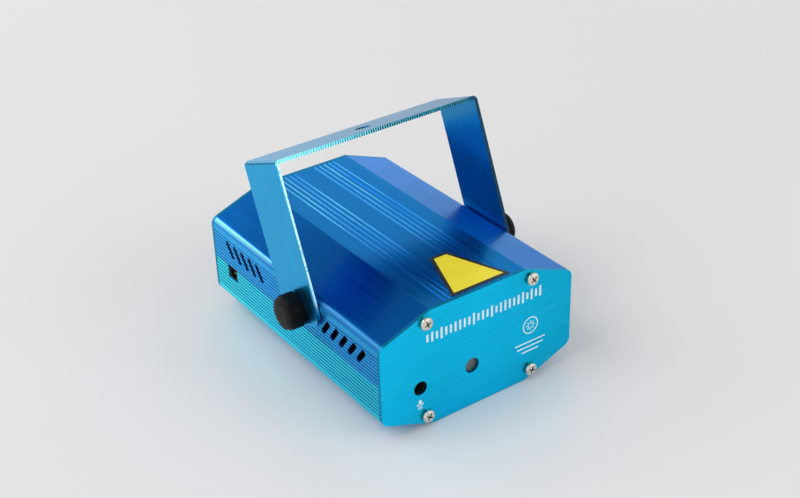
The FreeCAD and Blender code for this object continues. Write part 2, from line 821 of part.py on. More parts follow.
def make_lower_shell():
    body = half_shell("lower_shell_body")
    rails = sketch_on(body, "rail_outline", "XZ_Plane")
    for side in ("", "-"):
        near = f"{side}({INNER_SIDE} - rail_depth)"
        far = f"{side}({INNER_SIDE} + wall / 2)"
        start = far if side else near
        end = near if side else far
        under = f"{SEAM} - {BOARD_BOTTOM} + running_gap"
        over = f"{SEAM} - {BOARD_TOP} - running_gap"
        rectangle(rails, (start, under), (end, f"{under} + rail_thickness"))
        rectangle(rails, (start, f"{over} - rail_thickness"), (end, over))
    pad(body, "rails", rails, SHELL_LENGTH)
    place(body, ("0", "0", SEAM), Rotation(Vector(0, 1, 0), 180))
    notch = block("socket_notch",
                  (f"-{HALF_WIDTH} - overrun", f"{SOCKET_Y} - socket_half - side_play",
                   f"{BOARD_TOP} - loose_gap"),
                  ("notch_depth - body_width / 2", f"{SOCKET_Y} + socket_half + side_play",
                   f"{SEAM} + overrun"))
    seats = []
    for x, y in FLOOR_SCREW_SPOTS:
        seats += flush_seat("floor_seat", (x, y, "0"), "wall + overrun")
    node("lower_shell", cut("lower_shell", body, [notch] + seats))


# End plates and their screws

def end_plate(name):
    """Octagonal plate in the middle plane y = 0, with its screw holes."""
    body = new_body(name)
    right = [(HALF_WIDTH, "slope_rise"), (HALF_WIDTH, "body_height - slope_rise")]
    outline = sketch_on(body, f"{name}_outline", "XZ_Plane")
    corners = [("flat_half", "0")] + right + [("flat_half", "body_height")]
    polygon(outline, corners + [(f"-({x})", z) for x, z in reversed(corners)])
    pad(body, f"{name}_sheet", outline, "plate_thickness")
    sides = [(x, None, z) for x, z in both_sides(right)]
    round_edges(body, f"{name}_side_corners", sides, "corner_radius")
    flats = both_sides([("flat_half", None, "0"), ("flat_half", None, "body_height")])
    round_edges(body, f"{name}_flat_corners", flats, "edge_radius")
    holes = sketch_on(body, f"{name}_hole_outline", "XZ_Plane")
    for at in PLATE_SCREW_SPOTS:
        circle(holes, at, SCREW_HOLE)
    return body, holes


def make_front_plate():
    body, holes = end_plate("front_plate")
    circle(holes, (BEAM_X, BEAM_Z), "aperture_radius")
    circle(holes, (MIC_X, BEAM_Z), "mic_hole_radius")
    pocket(body, "front_plate_holes", holes, "body_length")
    place(body, ("0", f"{SHELL_FRONT} - plate_thickness / 2", "0"))
    node("front_plate", body)
    spots = [(x, BODY_FRONT, z) for x, z in PLATE_SCREW_SPOTS]
    node("front_plate_screws", group("front_screw_group", copies(plate_screw, spots, "front")))


def make_rear_plate():
    body, holes = end_plate("rear_plate")
    circle(holes, (CONTROL_X, SEAM), "bushing_radius + running_gap")
    for x, z in FAN_SCREW_SPOTS:
        circle(holes, (x, z), SCREW_HOLE)
    for ring in range(1, round(measure("grille_ring_count")) + 1):
        reach = f"{ring} * {GRILLE_PITCH}"
        count = ring * round(measure("grille_ring_holes"))
        for i in range(count):
            angle = f"({360 * i / count} deg)"
            circle(holes, (f"{reach} * cos({angle})", f"{SEAM} + {reach} * sin({angle})"),
                   f"grille_hole_share * {GRILLE_PITCH}")
    for sign in ("+", "-"):
        circle(holes, (f"-{CONTROL_X}", f"{SEAM} {sign} switch_screw_half"),
               "switch_screw_radius + loose_gap")
    half_x = "(lever_width / 2 + side_play)"
    half_z = "(lever_height / 2 + lever_travel + side_play)"
    rectangle(holes, (f"-{CONTROL_X} - {half_x}", f"{SEAM} - {half_z}"),
              (f"-{CONTROL_X} + {half_x}", f"{SEAM} + {half_z}"))
    pocket(body, "rear_plate_holes", holes, "body_length")
    place(body, ("0", f"{SHELL_REAR} + plate_thickness / 2", "0"))
    node("rear_plate", body)
    spots = [(x, BODY_REAR, z) for x, z in PLATE_SCREW_SPOTS]
    node("rear_plate_screws", group("rear_screw_group", copies(plate_screw, spots, "rear")))


def make_top_label():
    body = new_body("top_label")
    outline = sketch_on(body, "label_outline", "XY_Plane")
    polygon(outline, [("label_centre - label_front_half", LABEL_FRONT),
                      ("label_centre + label_front_half", LABEL_FRONT),
                      ("label_centre + label_rear_half", LABEL_REAR),
                      ("label_centre - label_rear_half", LABEL_REAR)])
    pad(body, "label_film", outline, "label_thickness", "One side")
    place(body, ("0", "0", "body_height"))
    node("top_label", body)


# Bracket and thumbscrews

def make_bracket():
    """Flat strip bent twice, built upright about its pivot and then leaned back."""
    body = new_body("bracket")
    inner_top = "bracket_reach - bracket_thickness"
    right = [(LEG_INNER, "-bracket_tail"), (LEG_OUTER, "-bracket_tail"), (LEG_OUTER, "bracket_reach")]
    left = [(f"-{LEG_OUTER}", "bracket_reach"), (f"-{LEG_OUTER}", "-bracket_tail"),
            (f"-{LEG_INNER}", "-bracket_tail")]
    outline = sketch_on(body, "bracket_outline", "XZ_Plane")
    polygon(outline, right + left + [(f"-{LEG_INNER}", inner_top), (LEG_INNER, inner_top)])
    pad(body, "bracket_strip", outline, "bracket_width")
    round_edges(body, "bracket_outer_bends", both_sides([(LEG_OUTER, None, "bracket_reach")]),
                "bracket_bend")
    round_edges(body, "bracket_inner_bends", both_sides([(LEG_INNER, None, inner_top)]),
                "bracket_bend - bracket_thickness")
    tails = [(None, "bracket_width / 2", "-bracket_tail"), (None, "-bracket_width / 2", "-bracket_tail")]
    round_edges(body, "bracket_tails", tails, "bracket_corner")
    pivots = sketch_on(body, "pivot_outline", "YZ_Plane")
    circle(pivots, ("0", "0"), STUD_HOLE)
    pocket(body, "bracket_pivots", pivots, f"2 * {LEG_OUTER} + overrun")
    hole = sketch_on(body, "bar_hole_outline", "XY_Plane", "bracket_reach")
    circle(hole, ("0", "0"), "bar_hole_radius")
    pocket(body, "bar_hole", hole, "2 * bracket_thickness + overrun")
    place(body, PIVOT, Rotation(Vector(-1, 0, 0), measure("bracket_tilt")))
    node("bracket", body)


def make_thumbscrew(side, facing):
    sign = "-" if facing == "left" else ""
    seat = (f"{sign}{KNOB_SEAT}",) + PIVOT[1:]
    outline = [("stud_radius", "0"), ("knob_radius - knob_foot_chamfer", "0"),
               ("knob_radius", "knob_foot_chamfer"), ("knob_radius", "knob_side_length"),
               ("knob_rim_radius", "knob_rim_height"), ("knob_dome_radius", "knob_dome_height"),
               ("0", "knob_length"), ("0", "stud_socket_depth"), ("stud_radius", "stud_socket_depth")]
    knob = turned(f"{side}_knob", outline, seat, facing)
    flutes = sketch_on(knob, f"{side}_flute_outline", "XY_Plane")
    circle(flutes, ("knob_radius", "0"), "knob_flute_radius")
    flute = pocket(knob, f"{side}_flute", flutes, "2 * (knob_length + overrun)")
    round_pattern(knob, f"{side}_flutes", flute, "knob_flute_count")
    node(f"{side}_knob", knob)

    reach = f"-({KNOB_SEAT} - {STUD_INNER})"
    stud = [("0", reach), ("stud_radius", reach), ("stud_radius", "stud_socket_depth"),
            ("0", "stud_socket_depth")]
    node(f"{side}_knob_stud", turned(f"{side}_knob_stud", stud, seat, facing))

    washer = [(STUD_HOLE, "0"), ("washer_radius", "0"), ("washer_radius", "washer_thickness"),
              (STUD_HOLE, "washer_thickness")]
    at = (f"{sign}{LEG_OUTER}",) + PIVOT[1:]
    node(f"{side}_washer", turned(f"{side}_washer", washer, at, facing))


def hex_nut(name, radius, bore, thickness, at, facing):
    """Six-sided nut; radius is the distance to its corners."""
    body = new_body(name)
    outline = sketch_on(body, f"{name}_outline", "XY_Plane")
    angles = [f"({360 * i / HEX_SIDES} deg)" for i in range(HEX_SIDES)]
    polygon(outline, [(f"{radius} * cos({angle})", f"{radius} * sin({angle})") for angle in angles])
    circle(outline, ("0", "0"), bore)
    pad(body, f"{name}_blank", outline, thickness, "One side")
    return place(body, at, FACING[facing])


def make_pivot_nuts():
    bore = "stud_radius + running_gap"
    start = f"{INNER_SIDE} - pivot_nut_thickness"
    right = hex_nut("right_pivot_nut", "pivot_nut_radius", bore, "pivot_nut_thickness",
                    (start,) + PIVOT[1:], "right")
    left = hex_nut("left_pivot_nut", "pivot_nut_radius", bore, "pivot_nut_thickness",
                   (f"-({start})",) + PIVOT[1:], "left")
    node("pivot_nuts", group("pivot_nut_group", [left, right]))


# Aperture and microphone, both behind the front plate

def make_aperture():
    at = (BEAM_X, SHELL_FRONT, BEAM_Z)
    glass = [("0", "0"), ("window_radius", "0"), ("window_radius", "window_thickness"),
             ("0", "window_thickness")]
    node("aperture_window", turned("aperture_window", glass, at, "rear"))
    well = "window_radius + running_gap"
    depth = "window_thickness + retainer_lip"
    ring = [(well, "0"), ("retainer_radius", "0"), ("retainer_radius", depth),
            ("retainer_lip_radius", depth), ("retainer_lip_radius", "window_thickness"),
            (well, "window_thickness")]
    node("window_retainer", turned("window_retainer", ring, at, "rear"))


def make_microphone():
    at = (MIC_X, SHELL_FRONT, BEAM_Z)
    back = "mic_setback + mic_length"
    capsule = [("0", "mic_setback + mic_mouth_depth"), ("mic_mouth_radius", "mic_setback + mic_mouth_depth"),
               ("mic_mouth_radius", "mic_setback"), ("mic_radius", "mic_setback"),
               ("mic_radius", back), ("0", back)]
    node("microphone", turned("microphone", capsule, at, "rear"))
    sleeve = [("mic_radius", "0"), ("boot_radius", "0"), ("boot_radius", "boot_length"),
              ("mic_radius", "boot_length")]
    node("microphone_boot", turned("microphone_boot", sleeve, at, "rear"))
    start = f"{SHELL_FRONT} + {back}"
    length = f"{BOARD_FRONT} + mic_lead_overlap - ({start})"
    leads = [rod("mic_lead", "mic_lead_radius",
                 (f"{MIC_X} {sign} mic_lead_half", start, f"{BOARD_TOP} + mic_lead_radius"), length, "rear")
             for sign in ("+", "-")]
    node("microphone_leads", group("mic_lead_group", leads))


# Optics

GREEN_SCREW_SPOTS = [
    (BEAM_X, f"{GREEN_BLOCK_FRONT} + {share} * {GREEN_BLOCK_LENGTH}")
    for share in ("block_screw_share", "(1 - block_screw_share)")
]
RED_SCREW_SPOTS = [
    (f"{RED_BLOCK_LEFT} + {share} * red_block_length", COMBINER_Y)
    for share in ("block_screw_share", "(1 - block_screw_share)")
]
POST_SCREW_SPOT = (BEAM_X, COMBINER_Y)
BLOCK_SCREW_SPOTS = GREEN_SCREW_SPOTS + RED_SCREW_SPOTS + [POST_SCREW_SPOT]
FOOT_SCREW_SPOTS = [
    (x, f"{HOLDER_BACK} + foot_length / 2")
    for x in ("foot_screw_inset - base_left", "holder_right - foot_screw_inset")
]


def make_optics_base():
    plate = block("optics_base_blank", ("-base_left", HOLDER_FRONT, "wall"),
                  (RED_BLOCK_RIGHT, BASE_REAR, BASE_TOP))
    tools = []
    for x, y in BLOCK_SCREW_SPOTS:
        tools += flush_seat("block_seat", (x, y, "wall"), "base_thickness + overrun")
    bore = "flush_screw_radius + running_gap"
    for x, y in BASE_SCREW_SPOTS:
        tools.append(rod("floor_thread", bore, (x, y, "wall - overrun"), "base_thickness + 2 * overrun"))
    for x, y in FOOT_SCREW_SPOTS:
        tools.append(rod("foot_thread", "small_screw_radius + running_gap", (x, y, "wall - overrun"),
                         "base_thickness + 2 * overrun"))
    node("optics_base", cut("optics_base", plate, tools))
    floor = [(x, y, "flush_screw_sink") for x, y in FLOOR_SCREW_SPOTS]
    node("floor_screws", group("floor_screw_group", copies(floor_screw, floor, "down")))
    blocks = [(x, y, "wall + flush_screw_sink") for x, y in BLOCK_SCREW_SPOTS]
    node("block_screws", group("block_screw_group", copies(block_screw, blocks, "down")))


def module_outline(length):
    """Laser module along its axis, nose at z = 0 with a beam opening, a lead well at its tail."""
    return [("0", "module_nose_depth"), ("module_nose_radius", "module_nose_depth"),
            ("module_nose_radius", "0"), ("module_radius", "0"), ("module_radius", length),
            ("module_tail_radius", length), ("module_tail_radius", f"{length} - module_tail_depth"),
            ("0", f"{length} - module_tail_depth")]


def thread_bores(spots):
    depth = f"{BLOCK_THREAD_DEPTH} + overrun"
    return [rod("block_thread", "flush_screw_radius + running_gap", (x, y, f"{BASE_TOP} - overrun"), depth)
            for x, y in spots]


def make_lasers():
    green_at = (BEAM_X, GREEN_FRONT, BEAM_Z)
    node("green_laser_module",
         turned("green_laser_module", module_outline(GREEN_LENGTH), green_at, "rear"))
    red_at = (RED_LEFT, COMBINER_Y, BEAM_Z)
    node("red_laser_module",
         turned("red_laser_module", module_outline(RED_LENGTH), red_at, "right"))
    bore = "module_radius + running_gap"
    grub_bore = "grub_radius + running_gap"
    module_top = f"{BEAM_Z} + module_radius"

    green_end = f"{GREEN_BLOCK_FRONT} + {GREEN_BLOCK_LENGTH}"
    green = block("green_block_blank", (f"{BEAM_X} - block_half", GREEN_BLOCK_FRONT, BASE_TOP),
                  (f"{BEAM_X} + block_half", green_end, BLOCK_TOP))
    tools = thread_bores(GREEN_SCREW_SPOTS)
    tools.append(rod("green_bore", bore, (BEAM_X, f"{GREEN_BLOCK_FRONT} - overrun", BEAM_Z),
                     f"{GREEN_BLOCK_LENGTH} + 2 * overrun", "rear"))
    tools += [rod("green_grub_bore", grub_bore, (x, y, BEAM_Z), BLOCK_TOP)
              for x, y in GREEN_SCREW_SPOTS]
    for side in ("+", "-"):
        for i in range(round(measure("fin_count"))):
            low = f"{BEAM_X} {side} (grub_radius + {i + 1} * fin_pitch - fin_width) - fin_width / 2"
            tools.append(block("fin_gap", (low, f"{GREEN_BLOCK_FRONT} - overrun", f"{BLOCK_TOP} - fin_depth"),
                               (f"{low} + fin_width", f"{green_end} + overrun", f"{BLOCK_TOP} + overrun")))
    node("green_laser_block", cut("green_laser_block", green, tools))

    red = block("red_block_blank", (RED_BLOCK_LEFT, f"{COMBINER_Y} - block_half", BASE_TOP),
                (RED_BLOCK_RIGHT, f"{COMBINER_Y} + block_half", BLOCK_TOP))
    middle = f"{RED_BLOCK_LEFT} + red_block_length / 2"
    tools = thread_bores(RED_SCREW_SPOTS)
    tools.append(rod("red_bore", bore, (f"{RED_BLOCK_LEFT} - overrun", COMBINER_Y, BEAM_Z),
                     "red_block_length + 2 * overrun", "right"))
    tools.append(rod("red_grub_bore", grub_bore, (middle, COMBINER_Y, BEAM_Z), BLOCK_TOP))
    node("red_laser_block", cut("red_laser_block", red, tools))

    spots = [(x, y, module_top) for x, y in GREEN_SCREW_SPOTS] + [(middle, COMBINER_Y, module_top)]
    grubs = [rod("grub", "grub_radius", at, "grub_length") for at in spots]
    node("laser_grub_screws", group("grub_group", grubs))


def make_combiner():
    """Tilted mirror on its post, both built square and then turned about the beam."""
    turn = Rotation(Vector(0, 0, 1), measure("mirror_turn"))
    at = (BEAM_X, COMBINER_Y, "0")
    low = f"{BEAM_Z} - mirror_height / 2"
    body = new_body("combiner_mirror")
    outline = sketch_on(body, "mirror_outline", "XY_Plane", low)
    half = "mirror_thickness / 2"
    rectangle(outline, ("-mirror_width / 2", f"-{half}"), ("mirror_width / 2", half))
    pad(body, "mirror_glass", outline, "mirror_height", "One side")
    node("combiner_mirror", place(body, at, turn))

    post = new_body("mirror_post")
    foot = sketch_on(post, "post_outline", "XY_Plane", BASE_TOP)
    rectangle(foot, ("-post_width / 2", "-post_depth / 2"), ("post_width / 2", "post_depth / 2"))
    pad(post, "post_blank", foot, f"{low} + mirror_seat - {BASE_TOP}", "One side")
    slot = sketch_on(post, "post_slot_outline", "XY_Plane", f"{low} + mirror_seat")
    rectangle(slot, ("-post_width", f"-{half} - running_gap"), ("post_width", f"{half} + running_gap"))
    pocket(post, "post_slot", slot, "mirror_seat", "One side")
    thread = sketch_on(post, "post_thread_outline", "XY_Plane", BASE_TOP)
    circle(thread, ("0", "0"), "flush_screw_radius + running_gap")
    pocket(post, "post_thread", thread, f"2 * {BLOCK_THREAD_DEPTH}")
    node("mirror_post", place(post, at, turn))


# Grating wheel and its motor

def gear(name, teeth, thickness, bore, at, turn):
    """Toothed disc from z = 0 to its thickness, one tooth along +X before the turn."""
    body = new_body(name)
    pitch = f"tooth_module * {teeth} / 2"
    root = f"({pitch} + tooth_module - tooth_height)"
    revolve(body, f"{name}_disc", [(bore, "0"), (root, "0"), (root, thickness), (bore, thickness)])
    outline = sketch_on(body, f"{name}_tooth_outline", "XY_Plane")
    tip = f"({pitch} + tooth_module)"
    sunk = f"({root} - tooth_height / 2)"
    polygon(outline, [(sunk, "-tooth_root_half"), (root, "-tooth_root_half"), (tip, "-tooth_tip_half"),
                      (tip, "tooth_tip_half"), (root, "tooth_root_half"), (sunk, "tooth_root_half")])
    tooth = pad(body, f"{name}_tooth", outline, thickness, "One side")
    round_pattern(body, f"{name}_teeth", tooth, teeth)
    return place(body, at, turn)


def make_grating_drive():
    wheel = gear("grating_wheel", "wheel_teeth", "wheel_thickness", "grating_view_radius",
                 (BEAM_X, WHEEL_BACK, BEAM_Z), FACING["front"])
    end = "-(holder_thickness + 2 * side_play + retaining_ring_thickness + loose_gap)"
    journal = [("grating_view_radius", "0"), ("grating_view_radius", end),
               ("journal_radius", end), ("journal_radius", "0")]
    revolve(wheel, "wheel_journal", journal)
    seat = sketch_on(wheel, "grating_seat_outline", "XY_Plane", "wheel_thickness")
    circle(seat, ("0", "0"), "grating_radius + running_gap")
    pocket(wheel, "grating_seat", seat, "grating_thickness", "One side")
    node("grating_wheel", wheel)
    disc = [("0", "0"), ("grating_radius", "0"), ("grating_radius", "grating_thickness"),
            ("0", "grating_thickness")]
    disc_at = (BEAM_X, f"{WHEEL_FRONT} + grating_thickness", BEAM_Z)
    node("grating_disc", turned("grating_disc", disc, disc_at, "front"))
    ring = [("journal_radius", "0"), (RING_RADIUS, "0"), (RING_RADIUS, "retaining_ring_thickness"),
            ("journal_radius", "retaining_ring_thickness")]
    ring_at = (BEAM_X, f"{HOLDER_BACK} + side_play", BEAM_Z)
    node("grating_retainer", turned("grating_retainer", ring, ring_at, "rear"))

    upright = block("holder_upright", ("-base_left", HOLDER_FRONT, BASE_TOP),
                    ("holder_right", HOLDER_BACK, f"{BEAM_Z} + holder_rise"))
    foot = block("holder_foot", ("-base_left", HOLDER_BACK, BASE_TOP),
                 ("holder_right", f"{HOLDER_BACK} + foot_length", f"{BASE_TOP} + foot_thickness"))
    tools = [rod("journal_bore", "journal_radius + running_gap",
                 (BEAM_X, f"{HOLDER_FRONT} - overrun", BEAM_Z),
                 "holder_thickness + 2 * overrun", "rear"),
             rod("motor_boss_bore", "motor_boss_radius + running_gap",
                 (MOTOR_X, f"{HOLDER_FRONT} - overrun", BEAM_Z),
                 "holder_thickness + 2 * overrun", "rear")]
    tools += [rod("foot_bore", "small_screw_radius + running_gap", (x, y, f"{BASE_TOP} - overrun"),
                  "foot_thickness + 2 * overrun") for x, y in FOOT_SCREW_SPOTS]
    node("grating_holder", cut("grating_holder", united("holder_blank", [upright, foot]), tools))

    motor_at = (MOTOR_X, HOLDER_BACK, BEAM_Z)
    well = "motor_shaft_radius + running_gap"
    can = [(well, "-motor_boss_length"), ("motor_boss_radius", "-motor_boss_length"),
           ("motor_boss_radius", "0"), ("motor_radius", "0"), ("motor_radius", "motor_length"),
           ("0", "motor_length"), ("0", "motor_shaft_depth"), (well, "motor_shaft_depth")]
    node("grating_motor", turned("grating_motor", can, motor_at, "rear"))
    nose = f"-({HOLDER_BACK} - {WHEEL_FRONT} + motor_shaft_nose)"
    end = "motor_shaft_depth - side_play"
    shaft = [("0", nose), ("motor_shaft_radius", nose), ("motor_shaft_radius", end), ("0", end)]
    node("motor_shaft", turned("motor_shaft", shaft, motor_at, "rear"))
    half_tooth = Rotation(Vector(0, 0, 1), 180 / measure("pinion_teeth"))
    pinion = gear("motor_pinion", "pinion_teeth", "wheel_thickness", "motor_shaft_radius",
                  (MOTOR_X, WHEEL_BACK, BEAM_Z), FACING["front"].multiply(half_tooth))
    node("motor_pinion", pinion)


# Control board and what it carries

HEADER_SPOTS = {
    "motor": (HEADER_X, f"{MOTOR_BACK} + motor_lead_run"),
    "red": (HEADER_X, COMBINER_Y),
    "speed": (HEADER_X, f"{FAN_FRONT} - speed_header_gap"),
    "fan": (HEADER_X, f"{FAN_FRONT} - fan_header_gap"),
    "green": (HEADER_X, f"{FAN_FRONT} - green_header_gap"),
    "switch": (f"-{CONTROL_X}", f"{FAN_FRONT} - switch_header_gap"),
}


def make_board():
    screw_hole = "small_screw_radius + loose_gap"
    sheet_blank = block("board_blank", (f"loose_gap - {INNER_SIDE}", BOARD_FRONT, BOARD_BOTTOM),
                        (BOARD_RIGHT, BOARD_REAR, BOARD_TOP))
    holes = [rod("board_hole", screw_hole, (x, y, f"{BOARD_BOTTOM} - overrun"),
                 "board_thickness + 2 * overrun") for x, y in POST_SPOTS]
    node("control_board", cut("control_board", sheet_blank, holes))
    posts = []
    for x, y in POST_SPOTS:
        post = rod("post_blank", "board_post_radius", (x, y, "wall"), f"{BOARD_BOTTOM} - wall")
        low = rod("post_low_bore", "flush_screw_radius + running_gap", (x, y, "wall - overrun"),
                  "board_post_bore_depth + overrun")
        high = rod("post_high_bore", "small_screw_radius + running_gap",
                   (x, y, f"{BOARD_BOTTOM} - board_post_bore_depth"), "board_post_bore_depth + overrun")
        posts.append(cut("board_post", post, [low, high]))
    node("board_posts", group("board_post_group", posts))
    heads = [(x, y, BOARD_TOP) for x, y in POST_SPOTS]
    heads += [(x, y, f"{BASE_TOP} + foot_thickness") for x, y in FOOT_SCREW_SPOTS]
    node("small_pan_screws", group("small_screw_group", copies(small_screw, heads, "up")))

    can_x = f"rail_depth + capacitor_side_gap + capacitor_radius - {INNER_SIDE}"
    cans = []
    for i in range(round(measure("capacitor_count"))):
        can_y = f"{BOARD_FRONT} + (capacitor_start_share + {i} * capacitor_pitch_share) * {BOARD_LENGTH}"
        cans.append(rod("capacitor", "capacitor_radius", (can_x, can_y, BOARD_TOP), "capacitor_height"))
    node("board_capacitors", group("capacitor_group", cans))
    chips = []
    chip_left = f"rail_depth + chip_side_gap - {INNER_SIDE}"
    for i in range(round(measure("chip_count"))):
        start = f"{BOARD_FRONT} + (chip_start_share + {i} * chip_pitch_share) * {BOARD_LENGTH}"
        chips.append(block("chip", (chip_left, start, BOARD_TOP),
                           (f"{chip_left} + chip_width", f"{start} + chip_length",
                            f"{BOARD_TOP} + chip_height")))
    node("board_chips", group("chip_group", chips))
    headers = [block(f"{name}_header", (f"{x} - header_width / 2", f"{y} - header_length / 2", BOARD_TOP),
                     (f"{x} + header_width / 2", f"{y} + header_length / 2", HEADER_TOP))
               for name, (x, y) in HEADER_SPOTS.items()]
    node("board_headers", group("header_group", headers))


def make_socket():
    left = f"(socket_inset - {HALF_WIDTH})"
    centre = f"({BOARD_TOP} + socket_height / 2)"
    case = block("socket_blank", (left, f"{SOCKET_Y} - socket_half", BOARD_TOP),
                 (f"{left} + socket_length", f"{SOCKET_Y} + socket_half", f"{BOARD_TOP} + socket_height"))
    bore = rod("socket_bore", "socket_bore_radius", (f"{left} - overrun", SOCKET_Y, centre),
               "socket_bore_depth + overrun", "right")
    node("dc_jack", cut("dc_jack", case, [bore]))
    node("dc_jack_pin", rod("dc_jack_pin", "socket_pin_radius",
                            (f"{left} + socket_pin_inset", SOCKET_Y, centre),
                            "socket_bore_depth - socket_pin_inset", "right"))


# Fan behind the rear plate

def make_fan():
    half = FAN_HALF
    frame = block("fan_blank", (f"-{half}", FAN_FRONT, f"{SEAM} - {half}"),
                  (half, SHELL_REAR, f"{SEAM} + {half}"))
    hub_at = ("0", FAN_FRONT, SEAM)
    duct = rod("fan_duct", FAN_DUCT, ("0", f"{FAN_FRONT} - overrun", SEAM),
               "fan_depth + 2 * overrun", "rear")
    ring = cut("fan_ring", frame, [duct])
    back = f"{FAN_FRONT} + fan_strut_depth"
    strut = "fan_strut_width / 2"
    level = block("fan_level_strut", (f"-{half}", FAN_FRONT, f"{SEAM} - {strut}"),
                  (half, back, f"{SEAM} + {strut}"))
    upright = block("fan_upright_strut", (f"-{strut}", FAN_FRONT, f"{SEAM} - {half}"),
                    (strut, back, f"{SEAM} + {half}"))
    disc = rod("fan_hub_disc", "fan_hub_radius", hub_at, "fan_strut_depth", "rear")
    tube = rod("fan_tube", "fan_tube_radius", hub_at, "fan_tube_length", "rear")
    bore = rod("fan_tube_bore", "fan_shaft_radius + running_gap",
               ("0", f"{FAN_FRONT} + fan_shaft_start - running_gap", SEAM), "fan_depth", "rear")
    tools = [bore]
    for x, z in FAN_SCREW_SPOTS:
        tools.append(rod("fan_screw_bore", "plate_screw_radius + running_gap",
                         (x, f"{FAN_FRONT} - overrun", z), "fan_depth + 2 * overrun", "rear"))
    blank = united("fan_frame_blank", [ring, level, upright, disc, tube])
    node("fan_frame", cut("fan_frame", blank, tools))

    rotor = new_body("fan_rotor")
    roof = "fan_hub_end - fan_hub_wall"
    inside = "fan_hub_radius - fan_hub_wall"
    cup = [("fan_shaft_radius", "fan_hub_end"), ("fan_shaft_radius", "fan_tube_length + side_play"),
           ("fan_tube_radius", "fan_tube_length + side_play"), ("fan_tube_radius", roof), (inside, roof),
           (inside, "fan_hub_start"), ("fan_hub_radius", "fan_hub_start"), ("fan_hub_radius", "fan_hub_end")]
    revolve(rotor, "fan_cup", cup)
    root = "fan_hub_radius - fan_blade_sink"
    blade = sketch_on(rotor, "fan_blade_outline", "YZ_Plane", root)
    middle = "(fan_hub_start + fan_hub_end) / 2"
    run = "(fan_blade_chord / 2 * cos(fan_blade_pitch * 1 deg))"
    rise = "(fan_blade_chord / 2 * sin(fan_blade_pitch * 1 deg))"
    thick = "(fan_blade_thickness / 2 / cos(fan_blade_pitch * 1 deg))"
    polygon(blade, [(f"-{run}", f"{middle} - {rise} - {thick}"), (run, f"{middle} + {rise} - {thick}"),
                    (run, f"{middle} + {rise} + {thick}"), (f"-{run}", f"{middle} - {rise} + {thick}")])
    vane = pad(rotor, "fan_blade", blade, f"{FAN_DUCT} - fan_tip_gap - ({root})", "One side")
    round_pattern(rotor, "fan_blades", vane, "fan_blade_count")
    node("fan_rotor", place(rotor, hub_at, FACING["rear"]))
    shaft = [("0", "fan_shaft_start"), ("fan_shaft_radius", "fan_shaft_start"),
             ("fan_shaft_radius", "fan_hub_end"), ("0", "fan_hub_end")]
    node("fan_shaft", turned("fan_shaft", shaft, hub_at, "rear"))
    spots = [(x, BODY_REAR, z) for x, z in FAN_SCREW_SPOTS]
    node("fan_screws", group("fan_screw_group", copies(plate_screw, spots, "rear")))


# Speed control on the rear plate

def make_speed_control():
    at = (CONTROL_X, SHELL_REAR, SEAM)
    bore = "speed_shaft_radius + running_gap"
    proud = "plate_thickness + bushing_length"
    case = [(bore, proud), ("bushing_radius", proud), ("bushing_radius", "0"), ("pot_radius", "0"),
            ("pot_radius", "-pot_depth"), ("0", "-pot_depth"), ("0", "-speed_shaft_depth"),
            (bore, "-speed_shaft_depth")]
    node("speed_pot", turned("speed_pot", case, at, "rear"))
    end = f"{proud} + speed_shaft_length"
    low = "side_play - speed_shaft_depth"
    shaft = [("0", low), ("speed_shaft_radius", low), ("speed_shaft_radius", end), ("0", end)]
    node("speed_shaft", turned("speed_shaft", shaft, at, "rear"))
    nut_at = (CONTROL_X, BODY_REAR, SEAM)
    node("speed_nut", hex_nut("speed_nut", "speed_nut_radius", "bushing_radius", "speed_nut_thickness",
                              nut_at, "rear"))

    foot = "plate_thickness + speed_knob_gap"
    well = f"{foot} + speed_knob_well_depth"
    top = f"{foot} + speed_knob_length"
    rim = "speed_knob_radius - speed_knob_taper"
    outline = [("speed_knob_well_radius", foot), ("speed_knob_radius", foot),
               (rim, f"{top} - speed_knob_edge"), (f"{rim} - speed_knob_edge", top), ("0", top), ("0", end),
               ("speed_shaft_radius", end), ("speed_shaft_radius", well), ("speed_knob_well_radius", well)]
    knob = turned("speed_knob", outline, at, "rear")
    flutes = sketch_on(knob, "speed_flute_outline", "XY_Plane", foot)
    circle(flutes, ("speed_knob_radius", "0"), "speed_flute_radius")
    flute = pocket(knob, "speed_flute", flutes, "2 * (speed_knob_length + overrun)")
    round_pattern(knob, "speed_flutes", flute, "speed_flute_count")
    pointer = sketch_on(knob, "speed_pointer_outline", "XY_Plane", top)
    half = "pointer_width / 2"
    rectangle(pointer, (f"-{half}", "-speed_knob_radius - overrun"), (half, "-speed_shaft_radius"))
    pocket(knob, "speed_pointer", pointer, "pointer_depth", "One side")
    node("speed_knob", knob)


# Three-position slide switch on the rear plate

